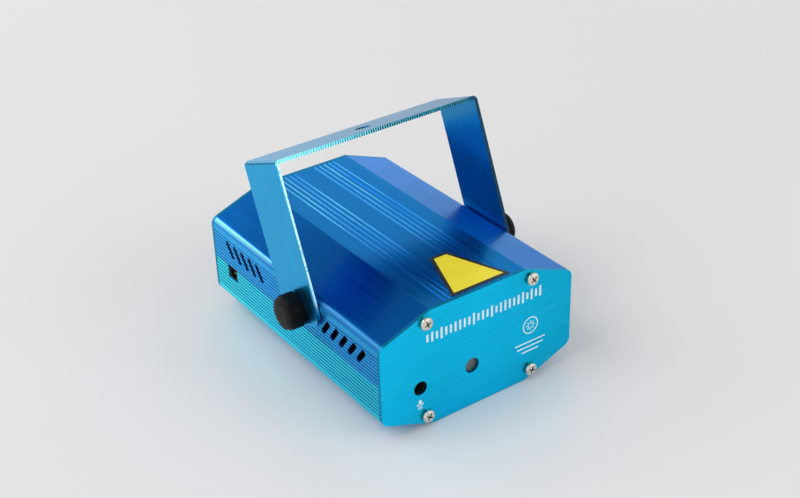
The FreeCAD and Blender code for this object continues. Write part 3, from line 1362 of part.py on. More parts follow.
def make_mode_switch():
    centre_x = f"-{CONTROL_X}"
    flange_front = f"{SHELL_REAR} - switch_flange_thickness"
    half_x = "switch_width / 2"
    half_z = "switch_height / 2"
    case_front = f"{SHELL_REAR} - switch_depth"
    flange = block("switch_flange", (f"{centre_x} - {half_x}", flange_front, f"{SEAM} - switch_flange_half"),
                   (f"{centre_x} + {half_x}", SHELL_REAR, f"{SEAM} + switch_flange_half"))
    case = block("switch_case", (f"{centre_x} - {half_x}", case_front, f"{SEAM} - {half_z}"),
                 (f"{centre_x} + {half_x}", SHELL_REAR, f"{SEAM} + {half_z}"))
    cave_x = f"({half_x} - switch_wall)"
    cave_z = f"({half_z} - switch_wall)"
    cave_front = f"{case_front} + switch_wall"
    cave = block("switch_cave", (f"{centre_x} - {cave_x}", cave_front, f"{SEAM} - {cave_z}"),
                 (f"{centre_x} + {cave_x}", flange_front, f"{SEAM} + {cave_z}"))
    gate_x = "(lever_width / 2 + side_play)"
    gate_z = "(lever_height / 2 + lever_travel + side_play)"
    gate = block("switch_gate", (f"{centre_x} - {gate_x}", f"{flange_front} - overrun", f"{SEAM} - {gate_z}"),
                 (f"{centre_x} + {gate_x}", f"{SHELL_REAR} + overrun", f"{SEAM} + {gate_z}"))
    threads = [rod("switch_thread", "switch_screw_radius + running_gap",
                   (centre_x, f"{flange_front} - overrun", f"{SEAM} {sign} switch_screw_half"),
                   "switch_flange_thickness + 2 * overrun", "rear") for sign in ("+", "-")]
    blank = united("switch_blank", [flange, case])
    node("mode_switch_body", cut("mode_switch_body", blank, [cave, gate] + threads))

    left = f"{centre_x} - lever_width / 2"
    right = f"{centre_x} + lever_width / 2"
    shoe_back = f"{flange_front} - side_play"
    shoe_front = f"{shoe_back} - lever_shoe_depth"
    tip = f"{BODY_REAR} + lever_proud"
    shoe = block("lever_shoe", (left, shoe_front, f"{SEAM} - lever_shoe_height / 2"),
                 (right, shoe_back, f"{SEAM} + lever_shoe_height / 2"))
    stem = block("lever_stem", (left, shoe_front, f"{SEAM} - lever_height / 2"),
                 (right, tip, f"{SEAM} + lever_height / 2"))
    grooves = []
    for sign in ("+", "-"):
        low = f"{SEAM} {sign} lever_groove_rise - lever_groove_width / 2"
        grooves.append(block("lever_groove", (f"{left} - overrun", f"{tip} - lever_groove_depth", low),
                             (f"{right} + overrun", f"{tip} + overrun", f"{low} + lever_groove_width")))
    node("mode_switch_lever", cut("mode_switch_lever", united("lever_blank", [shoe, stem]), grooves))
    spots = [(centre_x, BODY_REAR, f"{SEAM} {sign} switch_screw_half") for sign in ("+", "-")]
    node("switch_screws", group("switch_screw_group", copies(switch_screw, spots, "rear")))


# Leads inside the housing

def bent_path(points, bend):
    """Straight runs joined by tangent arcs."""
    edges = []
    start = points[0]
    for before, corner, after in zip(points, points[1:], points[2:]):
        arriving = (corner - before).normalize()
        leaving = (after - corner).normalize()
        half_turn = arriving.getAngle(leaving) / 2
        inset = bend * math.tan(half_turn)
        arc_start = corner - arriving * inset
        arc_end = corner + leaving * inset
        centre = corner + (leaving - arriving).normalize() * (bend / math.cos(half_turn))
        middle = centre + (corner - centre).normalize() * bend
        edges.append(Part.LineSegment(start, arc_start).toShape())
        edges.append(Part.Arc(arc_start, middle, arc_end).toShape())
        start = arc_end
    edges.append(Part.LineSegment(start, points[-1]).toShape())
    return Part.Wire(edges)


def lead(name, route):
    """Insulated lead along a route of formulas."""
    points = [Vector(*[measure(formula) for formula in spot]) for spot in route]
    radius = measure("lead_radius")
    path = bent_path(points, measure("lead_bend"))
    section = Part.Wire(Part.Circle(points[0], points[1] - points[0], radius).toShape())
    item = doc.addObject("Part::Feature", name)
    item.Shape = path.makePipeShell([section], True, False)
    expected = math.pi * radius**2 * path.Length
    if abs(item.Shape.Volume / expected - 1) > LEAD_VOLUME_SHARE:
        raise RuntimeError(f"{name} has the wrong volume")
    return item


def overhead(start, turn, header):
    """Route from a piece to its header: out to the turn, up, across above everything and down."""
    x, y = HEADER_SPOTS[header]
    return [start, turn, (turn[0], turn[1], LEAD_LEVEL), (x, y, LEAD_LEVEL), (x, y, HEADER_TOP)]


def make_leads():
    green_tail = f"{GREEN_FRONT} + {GREEN_LENGTH} - module_tail_depth"
    green = lead("green_lead", overhead((BEAM_X, green_tail, BEAM_Z),
                                        (BEAM_X, HEADER_SPOTS["green"][1], BEAM_Z), "green"))
    red_end = f"{RED_LEFT} + {RED_LENGTH}"
    red = lead("red_lead", overhead((f"{red_end} - module_tail_depth", COMBINER_Y, BEAM_Z),
                                    (f"{red_end} + lead_run", COMBINER_Y, BEAM_Z), "red"))
    node("laser_leads", group("laser_lead_group", [green, red]))
    motor = lead("motor_lead", overhead((MOTOR_X, MOTOR_BACK, BEAM_Z),
                                        (MOTOR_X, HEADER_SPOTS["motor"][1], BEAM_Z), "motor"))
    fan = lead("fan_lead", overhead(("-fan_lead_left", FAN_FRONT, SEAM),
                                    ("-fan_lead_left", HEADER_SPOTS["fan"][1], SEAM), "fan"))
    node("motor_leads", group("motor_lead_group", [motor, fan]))
    speed = lead("speed_lead", overhead((CONTROL_X, f"{SHELL_REAR} - pot_depth", SEAM),
                                        (CONTROL_X, HEADER_SPOTS["speed"][1], SEAM), "speed"))
    level = f"{HEADER_TOP} + switch_lead_rise"
    x, y = HEADER_SPOTS["switch"]
    switch = lead("switch_lead", [(x, f"{SHELL_REAR} - switch_depth", level), (x, y, level),
                                  (x, y, HEADER_TOP)])
    node("control_leads", group("control_lead_group", [speed, switch]))


make_upper_shell()
make_lower_shell()
make_front_plate()
make_rear_plate()
make_top_label()
make_bracket()
make_thumbscrew("left", "left")
make_thumbscrew("right", "right")
make_pivot_nuts()
make_aperture()
make_microphone()
make_optics_base()
make_lasers()
make_combiner()
make_grating_drive()
make_board()
make_socket()
make_fan()
make_speed_control()
make_mode_switch()
make_leads()

doc.recompute()

failed = [item.Name for item in doc.Objects if {"Invalid", "Error"} & set(item.State)]
failed += [item.Label for item in NODES if item.Shape.isNull() or not item.Shape.isValid()]
if failed:
    raise RuntimeError(f"these pieces didn't build: {failed}")

os.makedirs("parts", exist_ok=True)
for item in NODES:
    item.Shape.exportStep(f"parts/{item.Label}.step")
print(len(NODES), "sub-parts written")
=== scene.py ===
import json
import math

import bmesh
import bpy
from mathutils import Matrix, Vector


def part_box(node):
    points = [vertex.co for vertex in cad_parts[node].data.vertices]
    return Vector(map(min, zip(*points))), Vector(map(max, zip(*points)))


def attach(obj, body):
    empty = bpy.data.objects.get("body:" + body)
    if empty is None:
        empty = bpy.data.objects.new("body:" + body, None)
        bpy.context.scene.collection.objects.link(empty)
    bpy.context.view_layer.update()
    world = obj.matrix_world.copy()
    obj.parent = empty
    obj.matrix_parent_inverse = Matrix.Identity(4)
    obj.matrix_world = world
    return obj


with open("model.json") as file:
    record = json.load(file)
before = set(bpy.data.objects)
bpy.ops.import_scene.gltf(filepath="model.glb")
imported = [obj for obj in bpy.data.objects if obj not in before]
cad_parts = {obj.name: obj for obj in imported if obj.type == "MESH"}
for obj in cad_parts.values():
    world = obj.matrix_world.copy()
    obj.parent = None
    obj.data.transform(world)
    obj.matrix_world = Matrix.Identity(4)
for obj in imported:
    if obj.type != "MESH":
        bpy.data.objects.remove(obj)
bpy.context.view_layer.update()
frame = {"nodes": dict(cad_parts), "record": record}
NODES = frame["nodes"]
MM = 0.001
ACROSS = (1, 0, 0)
LENGTHWISE = (0, 1, 0)
UPWARD = (0, 0, 1)


# Small helpers for colours and node trees

# The spans in which a noise, the sum of two noises and a shading value mostly lie
NOISE_SPAN = (0.3, 0.7)
PAIR_SPAN = (0.6, 1.4)
SHADE_SPAN = (0.25, 0.75)


def linear(red, green, blue):
    """A display colour, each channel 0 to 255, as linear light."""
    def channel(value):
        value /= 255
        return value / 12.92 if value <= 0.04045 else ((value + 0.055) / 1.055) ** 2.4
    return (channel(red), channel(green), channel(blue), 1.0)


def grey(level):
    return (level, level, level, 1.0)


class Paint:
    """One procedural material round a Principled shader."""

    def __init__(self, name, sockets):
        self.material = bpy.data.materials.new(name)
        self.material.use_nodes = True
        self.tree = self.material.node_tree
        self.shader = self.tree.nodes["Principled BSDF"]
        self.put(self.shader, sockets)

    def put(self, node, sockets):
        for key, value in sockets.items():
            if isinstance(value, bpy.types.NodeSocket):
                self.tree.links.new(value, node.inputs[key])
            else:
                node.inputs[key].default_value = value

    def add(self, kind, sockets, **settings):
        node = self.tree.nodes.new("ShaderNode" + kind)
        for key, value in settings.items():
            setattr(node, key, value)
        self.put(node, sockets)
        return node

    def finish(self, **sockets):
        names = {"colour": "Base Color", "roughness": "Roughness", "normal": "Normal", "metallic": "Metallic"}
        self.put(self.shader, {names[key]: value for key, value in sockets.items()})
        return self.material

    def coordinate(self, output="Object"):
        return self.add("TexCoord", {}).outputs[output]

    def scaled(self, scale, turn=(0, 0, 0)):
        """Object coordinates, turned and then scaled apart on each axis."""
        sockets = {"Vector": self.coordinate(), "Rotation": turn}
        turned = self.add("VectorRotate", sockets, rotation_type="EULER_XYZ").outputs[0]
        return self.add("Mapping", {"Vector": turned, "Scale": scale}).outputs[0]

    def noise(self, vector, scale=1.0, detail=2.0, roughness=0.5):
        sockets = {"Vector": vector, "Scale": scale, "Detail": detail, "Roughness": roughness}
        return self.add("TexNoise", sockets).outputs[0]

    def cells(self, vector):
        return self.add("TexVoronoi", {"Vector": vector, "Scale": 1.0}).outputs["Distance"]

    def band(self, value, low, high, start=0.0, end=1.0):
        sockets = {"Value": value, "From Min": low, "From Max": high, "To Min": start, "To Max": end}
        return self.add("MapRange", sockets).outputs[0]

    def maths(self, operation, first, second=0.0):
        node = self.add("Math", {0: first, 1: second}, operation=operation)
        return node.outputs[0]

    def times(self, first, second):
        return self.maths("MULTIPLY", first, second)

    def near(self, value, middle, reach):
        """One close to a middle value, falling to zero over the reach's two distances."""
        distance = self.maths("ABSOLUTE", self.maths("SUBTRACT", value, middle))
        return self.band(distance, *reach, start=1.0, end=0.0)

    def dot(self, vector, direction):
        node = self.add("VectorMath", {0: vector, 1: direction}, operation="DOT_PRODUCT")
        return node.outputs["Value"]

    def facing(self, direction, low, high):
        """How far the surface itself looks along a direction, either way."""
        along = self.maths("ABSOLUTE", self.dot(self.coordinate("Normal"), direction))
        return self.band(along, low, high)

    def turning(self, direction, start, end):
        """One where the surface is partly turned to a direction, as on a round or a bend."""
        return self.maths("SUBTRACT", self.facing(direction, *start), self.facing(direction, *end))

    def mix(self, factor, first, second):
        node = self.add("Mix", {0: factor, 6: first, 7: second}, data_type="RGBA")
        return node.outputs[2]

    def shade(self, colour, value, low, high):
        """A colour made darker or lighter by a value from zero to one."""
        level = self.band(value, *SHADE_SPAN, low, high)
        start = colour[:3] if isinstance(colour, tuple) else colour
        node = self.add("VectorMath", {0: start, "Scale": level}, operation="SCALE")
        return node.outputs[0]

    def graded(self, colour, place, span, low, high):
        """A colour that gets darker or lighter along a stretch of the part."""
        return self.shade(colour, self.band(place, *span, *SHADE_SPAN), low, high)

    def bump(self, height, distance, strength=1.0):
        sockets = {"Height": height, "Distance": distance, "Strength": strength}
        return self.add("Bump", sockets).outputs[0]


# Blue anodised extrusions

SHELL_LOW, SHELL_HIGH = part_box("upper_shell")
SEAM = SHELL_LOW.z
SHOULDER = SHELL_HIGH.z - 9.5 * MM
DYE_TINT = (0.6, 0.78, 0.92, 1.0)

# Grain, in waves per metre on each axis, here and below
DRAWN_FINE = (2600, 14, 2600)
DRAWN_WIDE = (420, 5, 420)
TOP_HAIRS = (1700, 7, 0)
# Grain of the painted highlight in the top's grooves
GROOVE_HIGHLIGHT_GRAIN = (520, 9, 0)
SIDE_RIBS = (0, 3, 1100)

# Spans of a noise that show as single hairs and as patches of painted highlight in the top's grooves
HAIR_NOISE = (0.6, 0.68)
GROOVE_HIGHLIGHT_NOISE = (0.38, 0.62)

# Where each change of the shells' paint starts and ends
GROOVE_FLOOR = (SHELL_HIGH.x - 0.35 * MM, SHELL_HIGH.x - 0.1 * MM)
GROOVE_LIMIT = (SHELL_HIGH.x - 1.0 * MM, SHELL_HIGH.x - 0.9 * MM)
TOP_LIMIT = (SHELL_HIGH.z - 0.5 * MM, SHELL_HIGH.z - 0.4 * MM)
SHOULDER_REACH = (5 * MM, 6 * MM)
SEAM_REACH = (0.8 * MM, 1.2 * MM)
GROOVES_ALONG = (-30 * MM, 30 * MM)
HAIRS_ALONG = (-55 * MM, 5 * MM)
SLOPE_ALONG = (10 * MM, 55 * MM)
SHADED_SHOULDER_ALONG = (-15 * MM, -5 * MM)
SHOULDER_HIGHLIGHT_ALONG = (-10 * MM, 60 * MM)
SIDE_ALONG = (-50 * MM, 50 * MM)

# How far a surface looks along an axis: where it starts to count and where it counts in full
FLAT_TOP = (0.96, 0.99)
FLAT_SIDE = (0.9, 0.97)
GROOVE_WALL = (0.5, 0.6)
ROUND_START = (0.48, 0.62)
ROUND_END = (0.78, 0.92)

TOP_HAIR = linear(70, 166, 222)
# Painted highlight colour for the top's grooves
GROOVE_HIGHLIGHT = linear(88, 172, 204)
# Painted shade on the front of the shoulder round
SHADED_SHOULDER = linear(10, 92, 150)
SEAM_BLUE = linear(6, 84, 140)
CUT_END = linear(30, 140, 190)
# Share of the painted shade laid into the side grooves
GROOVE_SHADE_SHARE = 0.4


def shell_top(paint, along, height, slope, top):
    """The slopes, painted lighter towards the rear, and the top with its drawn hairs and with grooves painted
    paler towards the rear as a painted highlight.
    """
    hairs = paint.noise(paint.scaled(TOP_HAIRS), roughness=0.7)
    fading = paint.band(along, *HAIRS_ALONG, start=1.0, end=0.35)
    drawn = paint.times(paint.band(hairs, *HAIR_NOISE, end=0.5), fading)
    # Painted light: the slopes get lighter towards the rear
    lit_slope = paint.graded(slope, along, SLOPE_ALONG, low=1.0, high=1.35)
    colour = paint.mix(paint.facing(UPWARD, *FLAT_TOP), lit_slope, paint.mix(drawn, top, TOP_HAIR))
    # Painted highlight: the top's grooves are painted paler, most towards the rear
    uneven = paint.noise(paint.scaled(GROOVE_HIGHLIGHT_GRAIN), roughness=0.6)
    groove_highlight = paint.times(paint.band(uneven, *GROOVE_HIGHLIGHT_NOISE), paint.band(along, *GROOVES_ALONG, start=0.12))
    top_groove_highlight = paint.times(paint.band(height, *TOP_LIMIT), groove_highlight)
    return paint.mix(paint.times(top_groove_highlight, paint.facing(ACROSS, *GROOVE_WALL)), colour, GROOVE_HIGHLIGHT)


def shell_shoulder(paint, along, height, colour, shoulder_highlight):
    """The round between slope and side: painted shade in front, and a painted highlight towards the rear."""
    bent = paint.turning(ACROSS, ROUND_START, ROUND_END)
    rounded = paint.times(paint.near(height, SHOULDER, SHOULDER_REACH), bent)
    # Painted shade: the front of the round is darkened
    painted_front_shade = paint.times(rounded, paint.band(along, *SHADED_SHOULDER_ALONG, start=0.8, end=0.0))
    colour = paint.mix(painted_front_shade, colour, SHADED_SHOULDER)
    # Painted highlight along the round, growing towards the rear
    bright = paint.times(rounded, paint.band(along, *SHOULDER_HIGHLIGHT_ALONG, start=0.12))
    return paint.mix(bright, colour, shoulder_highlight)


def shell_side(paint, along, in_groove, colour, side, groove_shade):
    """The flat sides: fine ribs, painted lighter towards the rear, and a painted shade in the grooves, strong
    on the upper shell and slight on the lower.
    """
    ribs = paint.noise(paint.scaled(SIDE_RIBS), detail=1.0)
    ribbed = paint.shade(side, ribs, low=0.84, high=1.1)
    # Painted light: the sides get brighter towards the rear
    ribbed = paint.graded(ribbed, along, SIDE_ALONG, low=0.8, high=1.18)
    # Painted shade darkens the side grooves
    grooved = paint.mix(paint.times(in_groove, GROOVE_SHADE_SHARE), ribbed, groove_shade)
    return paint.mix(paint.facing(ACROSS, *FLAT_SIDE), colour, grooved)


def shell_paint(name, side, slope, top, shoulder_highlight, groove_shade, groove_metal):
    """One extruded half: streaks drawn along the length, a dark seam and plain cut ends."""
    paint = Paint(name, {"Specular Tint": DYE_TINT, "Anisotropic": 0.35, "Coat Weight": 0.08})
    place = paint.coordinate()
    along = paint.dot(place, LENGTHWISE)
    height = paint.dot(place, UPWARD)
    aside = paint.maths("ABSOLUTE", paint.dot(place, ACROSS))
    below_side = paint.band(aside, *GROOVE_FLOOR, start=1.0, end=0.0)
    in_groove = paint.times(below_side, paint.band(aside, *GROOVE_LIMIT))
    colour = shell_top(paint, along, height, slope, top)
    colour = shell_shoulder(paint, along, height, colour, shoulder_highlight)
    colour = paint.mix(paint.near(height, SEAM, SEAM_REACH), colour, SEAM_BLUE)
    colour = shell_side(paint, along, in_groove, colour, side, groove_shade)
    fine = paint.noise(paint.scaled(DRAWN_FINE), detail=3.0, roughness=0.6)
    wide = paint.noise(paint.scaled(DRAWN_WIDE))
    cloud = paint.noise(place, scale=38.0, detail=3.0)
    colour = paint.shade(colour, fine, low=0.96, high=1.04)
    colour = paint.shade(colour, wide, low=0.97, high=1.03)
    colour = paint.shade(colour, cloud, low=0.95, high=1.04)
    colour = paint.mix(paint.facing(LENGTHWISE, *FLAT_SIDE), colour, CUT_END)
    return paint.finish(
        colour=colour,
        roughness=paint.band(paint.maths("ADD", fine, wide), *PAIR_SPAN, start=0.2, end=0.32),
        metallic=paint.band(in_groove, 0.0, 1.0, start=1.0, end=groove_metal),
        normal=paint.bump(fine, distance=0.01 * MM, strength=0.2),
    )


# End plates

PLATE_FINE = (70, 3600, 3600)
PLATE_WIDE = (24, 1100, 1100)
PLATE_SCRATCHES = (45, 900, 2600)
SCRATCH_TURN = (0, 0.07, 0)
SCRATCH_NOISE = (0.72, 0.8)
PLATE_FACE = (0.8, 0.95)
SCRATCH_CYAN = linear(150, 225, 245)


def plate_paint(name, face, rim):
    """End plates brushed across, with a few longer scratches, a darker cut rim and a painted shade that
    darkens them towards the right.
    """
    paint = Paint(name, {"Metallic": 1.0, "Specular Tint": DYE_TINT, "Anisotropic": 0.4})
    place = paint.coordinate()
    fine = paint.noise(paint.scaled(PLATE_FINE), detail=3.0, roughness=0.65)
    wide = paint.noise(paint.scaled(PLATE_WIDE))
    slanted = paint.noise(paint.scaled(PLATE_SCRATCHES, SCRATCH_TURN), detail=1.0, roughness=0.4)
    cloud = paint.noise(place, scale=30.0)
    colour = paint.shade(face, fine, low=0.86, high=1.13)
    colour = paint.shade(colour, wide, low=0.93, high=1.06)
    colour = paint.shade(colour, cloud, low=0.95, high=1.04)
    # Painted shade: the plate darkens towards its right edge
    shaded_right_half = (0.0, SHELL_HIGH.x)
    colour = paint.graded(colour, paint.dot(place, ACROSS), shaded_right_half, low=1.0, high=0.84)
    colour = paint.mix(paint.band(slanted, *SCRATCH_NOISE, end=0.3), colour, SCRATCH_CYAN)
    colour = paint.mix(paint.facing(LENGTHWISE, *PLATE_FACE), rim, colour)
    return paint.finish(
        colour=colour,
        roughness=paint.band(paint.maths("ADD", fine, wide), *PAIR_SPAN, start=0.24, end=0.4),
        normal=paint.bump(fine, distance=0.02 * MM, strength=0.55),
    )


# Bent strip of the bracket, which stands at the photographed tilt

LEG_TILT = math.radians(22.4)
LEG_TURN = (LEG_TILT, 0, 0)
LEG_ALONG = Vector((0.0, math.sin(LEG_TILT), math.cos(LEG_TILT)))
LEG_ACROSS = Vector((0.0, math.cos(LEG_TILT), -math.sin(LEG_TILT)))
STRIP = 1.5 * MM
BEND_ALLOWANCE = 0.1 * MM
BAR_UNDERSIDE = max(v.co.dot(LEG_ALONG) for v in NODES["bracket"].data.vertices) - STRIP - BEND_ALLOWANCE
LEG_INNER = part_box("bracket")[1].x - STRIP
PIVOT_ALONG = sum(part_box("left_knob"), Vector()).dot(LEG_ALONG) / 2

LEG_GRAIN = (2600, 2600, 18)
BAR_GRAIN = (18, 2600, 2600)
LEG_TICKS = (300, 40, 3000)
TICK_WANDER = (500, 40, 500)
TICK_PITCH = 1.1 * MM
TICK_DRIFT = 6.0
TICK_EDGE = (0.0, 0.12)
LEG_TICK_LEVEL = 0.3

# Where each change of the bracket's paint starts and ends: from the bar's underside down, from side to side,
# out from a leg's inner face, and up past the pivot
BAR_EDGE = (-0.3 * MM, 0.0)
LEG_SHADE = (-60 * MM, -18 * MM)
BAR_GLOW = (-12 * MM, -9 * MM)
WHOLE_BAR = (-SHELL_HIGH.x, SHELL_HIGH.x)
LEFT_HALF = (-SHELL_HIGH.x, 0.0)
BRIGHT_CUT = (-SHELL_HIGH.x, 20 * MM)
TICK_FADE = (-SHELL_HIGH.x, 40 * MM)
RIGHT_HALF = (0.0, MM)
RIGHT_LEG = (43 * MM, 45 * MM)
INNER_FACE = (LEG_INNER + 0.1 * MM, LEG_INNER + 0.2 * MM)
INNER_EDGE = (LEG_INNER + 0.7 * MM, LEG_INNER + 1.0 * MM)
ABOVE_PIVOT = (PIVOT_ALONG - 2 * MM, PIVOT_ALONG + MM)

BAR_FACE = (0.6, 0.8)
LEG_FACE = (0.8, 0.9)
SAWN_EDGE = (0.7, 0.9)
# Where the painted dark reflection across the bends starts and ends
BEND_REFLECTION_START = (0.3, 0.42)
BEND_REFLECTION_END = (0.62, 0.75)

# Painted shade on the legs' inner faces, deeper towards the bar, with a lighter painted band just under the
# bar
INNER_LOW = linear(36, 194, 240)
INNER_HIGH = linear(12, 124, 172)
INNER_BEND = linear(28, 140, 186)
# Painted light on the bar's top: lighter to the left, darker to the right
BAR_LEFT = linear(84, 176, 218)
BAR_RIGHT = linear(10, 124, 166)
# Painted reflection: a dark line across the bends
BEND_REFLECTION = linear(2, 112, 150)
# Painted light and shade on the sawn edges: lighter to the left, darker to the right, darkest on the right
# leg
TICK_LEFT = linear(88, 184, 208)
TICK_RIGHT = linear(0, 50, 70)
CUT_LEFT = linear(150, 226, 238)
CUT_RIGHT = linear(44, 156, 176)
SHADED_RIGHT_LEG_EDGE = linear(4, 78, 110)
PLAIN_EDGE = linear(40, 140, 178)


def bracket_faces(paint, aside, along, on_bar, colour):
    """Painted shade on the legs' inner faces, deeper towards the bar, then painted light on the bar's top,
    lighter to the left, and a painted dark reflection across the bends.
    """
    # Painted shade on the inner faces, deeper towards the bar
    inner_shade = paint.mix(paint.band(along, *LEG_SHADE), INNER_LOW, INNER_HIGH)
    inner_shade = paint.mix(paint.band(along, *BAR_GLOW), inner_shade, INNER_BEND)
    inner = paint.band(paint.maths("ABSOLUTE", aside), *INNER_FACE, start=1.0, end=0.0)
    colour = paint.mix(paint.times(inner, paint.facing(ACROSS, *LEG_FACE)), colour, inner_shade)
    # Painted light: the bar's top goes from light on the left to dark on the right
    colour = paint.mix(on_bar, colour, paint.mix(paint.band(aside, *WHOLE_BAR), BAR_LEFT, BAR_RIGHT))
    # Painted reflection: a dark line where the strip bends
    return paint.mix(paint.turning(LEG_ALONG, BEND_REFLECTION_START, BEND_REFLECTION_END), colour, BEND_REFLECTION)


def bracket_ticks(paint, aside, on_bar_edge):
    """Saw marks across the edges: irregular on the legs, nearly even on the bar."""
    leg_ticks = paint.noise(paint.scaled(LEG_TICKS, LEG_TURN), detail=1.0)
    wander = paint.noise(paint.scaled(TICK_WANDER, LEG_TURN), roughness=0.6)
    phase = paint.maths("ADD", paint.times(aside, 2 * math.pi / TICK_PITCH), paint.times(wander, TICK_DRIFT))
    bar_ticks = paint.band(paint.maths("SINE", phase), -1.0, 1.0, *SHADE_SPAN)
    return paint.mix(on_bar_edge, leg_ticks, bar_ticks)


def bracket_edges(paint, place, aside, along, deep, edge):
    """The sawn edges: ticked on the bar, on the right leg and on the left leg's upper inner part, painted
    lighter to the left and darker to the right, with the right leg's edge in painted shade.
    """
    on_bar_edge = paint.band(along, *BAR_EDGE)
    bar_or_right = paint.maths("MAXIMUM", on_bar_edge, paint.band(aside, *RIGHT_HALF))
    fading = paint.band(aside, *TICK_FADE, start=0.42, end=0.63)
    tick_level = paint.mix(bar_or_right, grey(LEG_TICK_LEVEL), fading)
    above_level = paint.maths("SUBTRACT", bracket_ticks(paint, aside, on_bar_edge), tick_level)
    # Painted light and shade along the edges, light on the left and dark on the right
    dark_bar = paint.mix(paint.band(aside, *LEFT_HALF), TICK_LEFT, TICK_RIGHT)
    light_bar = paint.mix(paint.band(aside, *BRIGHT_CUT), CUT_LEFT, CUT_RIGHT)
    light_bar = paint.mix(paint.band(aside, *RIGHT_LEG), light_bar, SHADED_RIGHT_LEG_EDGE)
    dark_cut = paint.mix(bar_or_right, deep, dark_bar)
    light_cut = paint.mix(bar_or_right, edge, light_bar)
    ticked = paint.mix(paint.band(above_level, *TICK_EDGE), dark_cut, light_cut)
    inner_part = paint.band(paint.maths("ABSOLUTE", aside), *INNER_EDGE, start=1.0, end=0.0)
    upper_inner = paint.times(inner_part, paint.band(paint.dot(place, LEG_ALONG), *ABOVE_PIVOT))
    return paint.mix(paint.maths("MAXIMUM", bar_or_right, upper_inner), PLAIN_EDGE, ticked)


def bracket_paint(name, face, deep, edge):
    """Bent strip: grain along each limb, sawn edges with fine cross ticks, and painted light and shade on its
    faces and edges.
    """
    gloss = {"Coat Weight": 0.3, "Coat Roughness": 0.12}
    paint = Paint(name, {"Metallic": 1.0, "Specular Tint": DYE_TINT, "Anisotropic": 0.35, **gloss})
    place = paint.coordinate()
    aside = paint.dot(place, ACROSS)
    along = paint.maths("SUBTRACT", paint.dot(place, LEG_ALONG), BAR_UNDERSIDE)
    on_bar = paint.facing(LEG_ALONG, *BAR_FACE)
    leg_grain = paint.noise(paint.scaled(LEG_GRAIN, LEG_TURN), detail=3.0, roughness=0.6)
    bar_grain = paint.noise(paint.scaled(BAR_GRAIN, LEG_TURN), detail=3.0, roughness=0.6)
    grain = paint.mix(on_bar, leg_grain, bar_grain)
    colour = paint.mix(paint.noise(place, scale=34.0), face, deep)
    colour = bracket_faces(paint, aside, along, on_bar, colour)
    colour = paint.shade(colour, grain, low=0.9, high=1.1)
    sawn = bracket_edges(paint, place, aside, along, deep, edge)
    return paint.finish(
        colour=paint.mix(paint.facing(LEG_ACROSS, *SAWN_EDGE), colour, sawn),
        roughness=paint.band(grain, *NOISE_SPAN, start=0.22, end=0.38),
        normal=paint.bump(grain, distance=0.02 * MM, strength=0.5),
    )


# Other metals

EVEN_MARKS = (900, 900, 900)
MIRROR_MARKS = (200, 200, 200)
MILLED_MARKS = (2200, 40, 2200)
TURNED_MARKS = (60, 60, 2000)
RECESS_REACH = 1.8 * MM
RECESS_OPENNESS = (0.4, 0.9)


def metal_paint(name, colour, roughness, marks=EVEN_MARKS, recess_shade=None):
    """Turned or milled metal with fine tool marks; where a shade colour is given, painted shade darkens the
    recesses.
    """
    paint = Paint(name, {"Metallic": 1.0})
    cuts = paint.noise(paint.scaled(marks), detail=3.0, roughness=0.6)
    stain = paint.noise(paint.coordinate(), scale=220.0, detail=3.0, roughness=0.6)
    tone = paint.shade(colour, cuts, low=0.86, high=1.1)
    tone = paint.shade(tone, stain, low=0.88, high=1.06)
    if recess_shade:
        # Painted shade: recesses are darkened by how closed in they are
        openness = paint.add("AmbientOcclusion", {"Distance": RECESS_REACH}, samples=8).outputs["AO"]
        tone = paint.mix(paint.band(openness, *RECESS_OPENNESS), recess_shade, tone)
    return paint.finish(
        colour=tone,
        roughness=paint.band(cuts, *NOISE_SPAN, start=roughness * 0.75, end=roughness * 1.3),
        normal=paint.bump(cuts, distance=0.02 * MM, strength=0.5),
    )


# Plastics, rubber, sticker, laminate and glass


def moulded_paint(name, colour, roughness, grain=1400.0, depth=0.03 * MM, specular=0.5):
    """Moulded plastic or rubber: fine eroded grain and a little uneven gloss."""
    paint = Paint(name, {"Specular IOR Level": specular})
    grit = paint.noise(paint.coordinate(), scale=grain, detail=3.0, roughness=0.6)
    cloud = paint.noise(paint.coordinate(), scale=90.0, detail=3.0, roughness=0.55)
    tone = paint.shade(colour, grit, low=0.82, high=1.18)
    tone = paint.shade(tone, cloud, low=0.88, high=1.12)
    uneven = paint.maths("ADD", grit, cloud)
    return paint.finish(
        colour=tone,
        roughness=paint.band(uneven, *PAIR_SPAN, start=roughness * 0.8, end=roughness * 1.2),
        normal=paint.bump(grit, distance=depth, strength=0.6),
    )


LABEL_MARGIN = (1.45 * MM, 1.55 * MM)
LABEL_RAGGED = 0.03 * MM
SAME_EDGE = 0.05 * MM


def label_corners():
    """The sticker's four corners in x and y, taken from its mesh."""
    points = [v.co for v in NODES["top_label"].data.vertices]
    front = min(p.y for p in points)
    rear = max(p.y for p in points)
    front_x = [p.x for p in points if p.y < front + SAME_EDGE]
    rear_x = [p.x for p in points if p.y > rear - SAME_EDGE]
    return [(min(front_x), front), (max(front_x), front), (max(rear_x), rear), (min(rear_x), rear)]


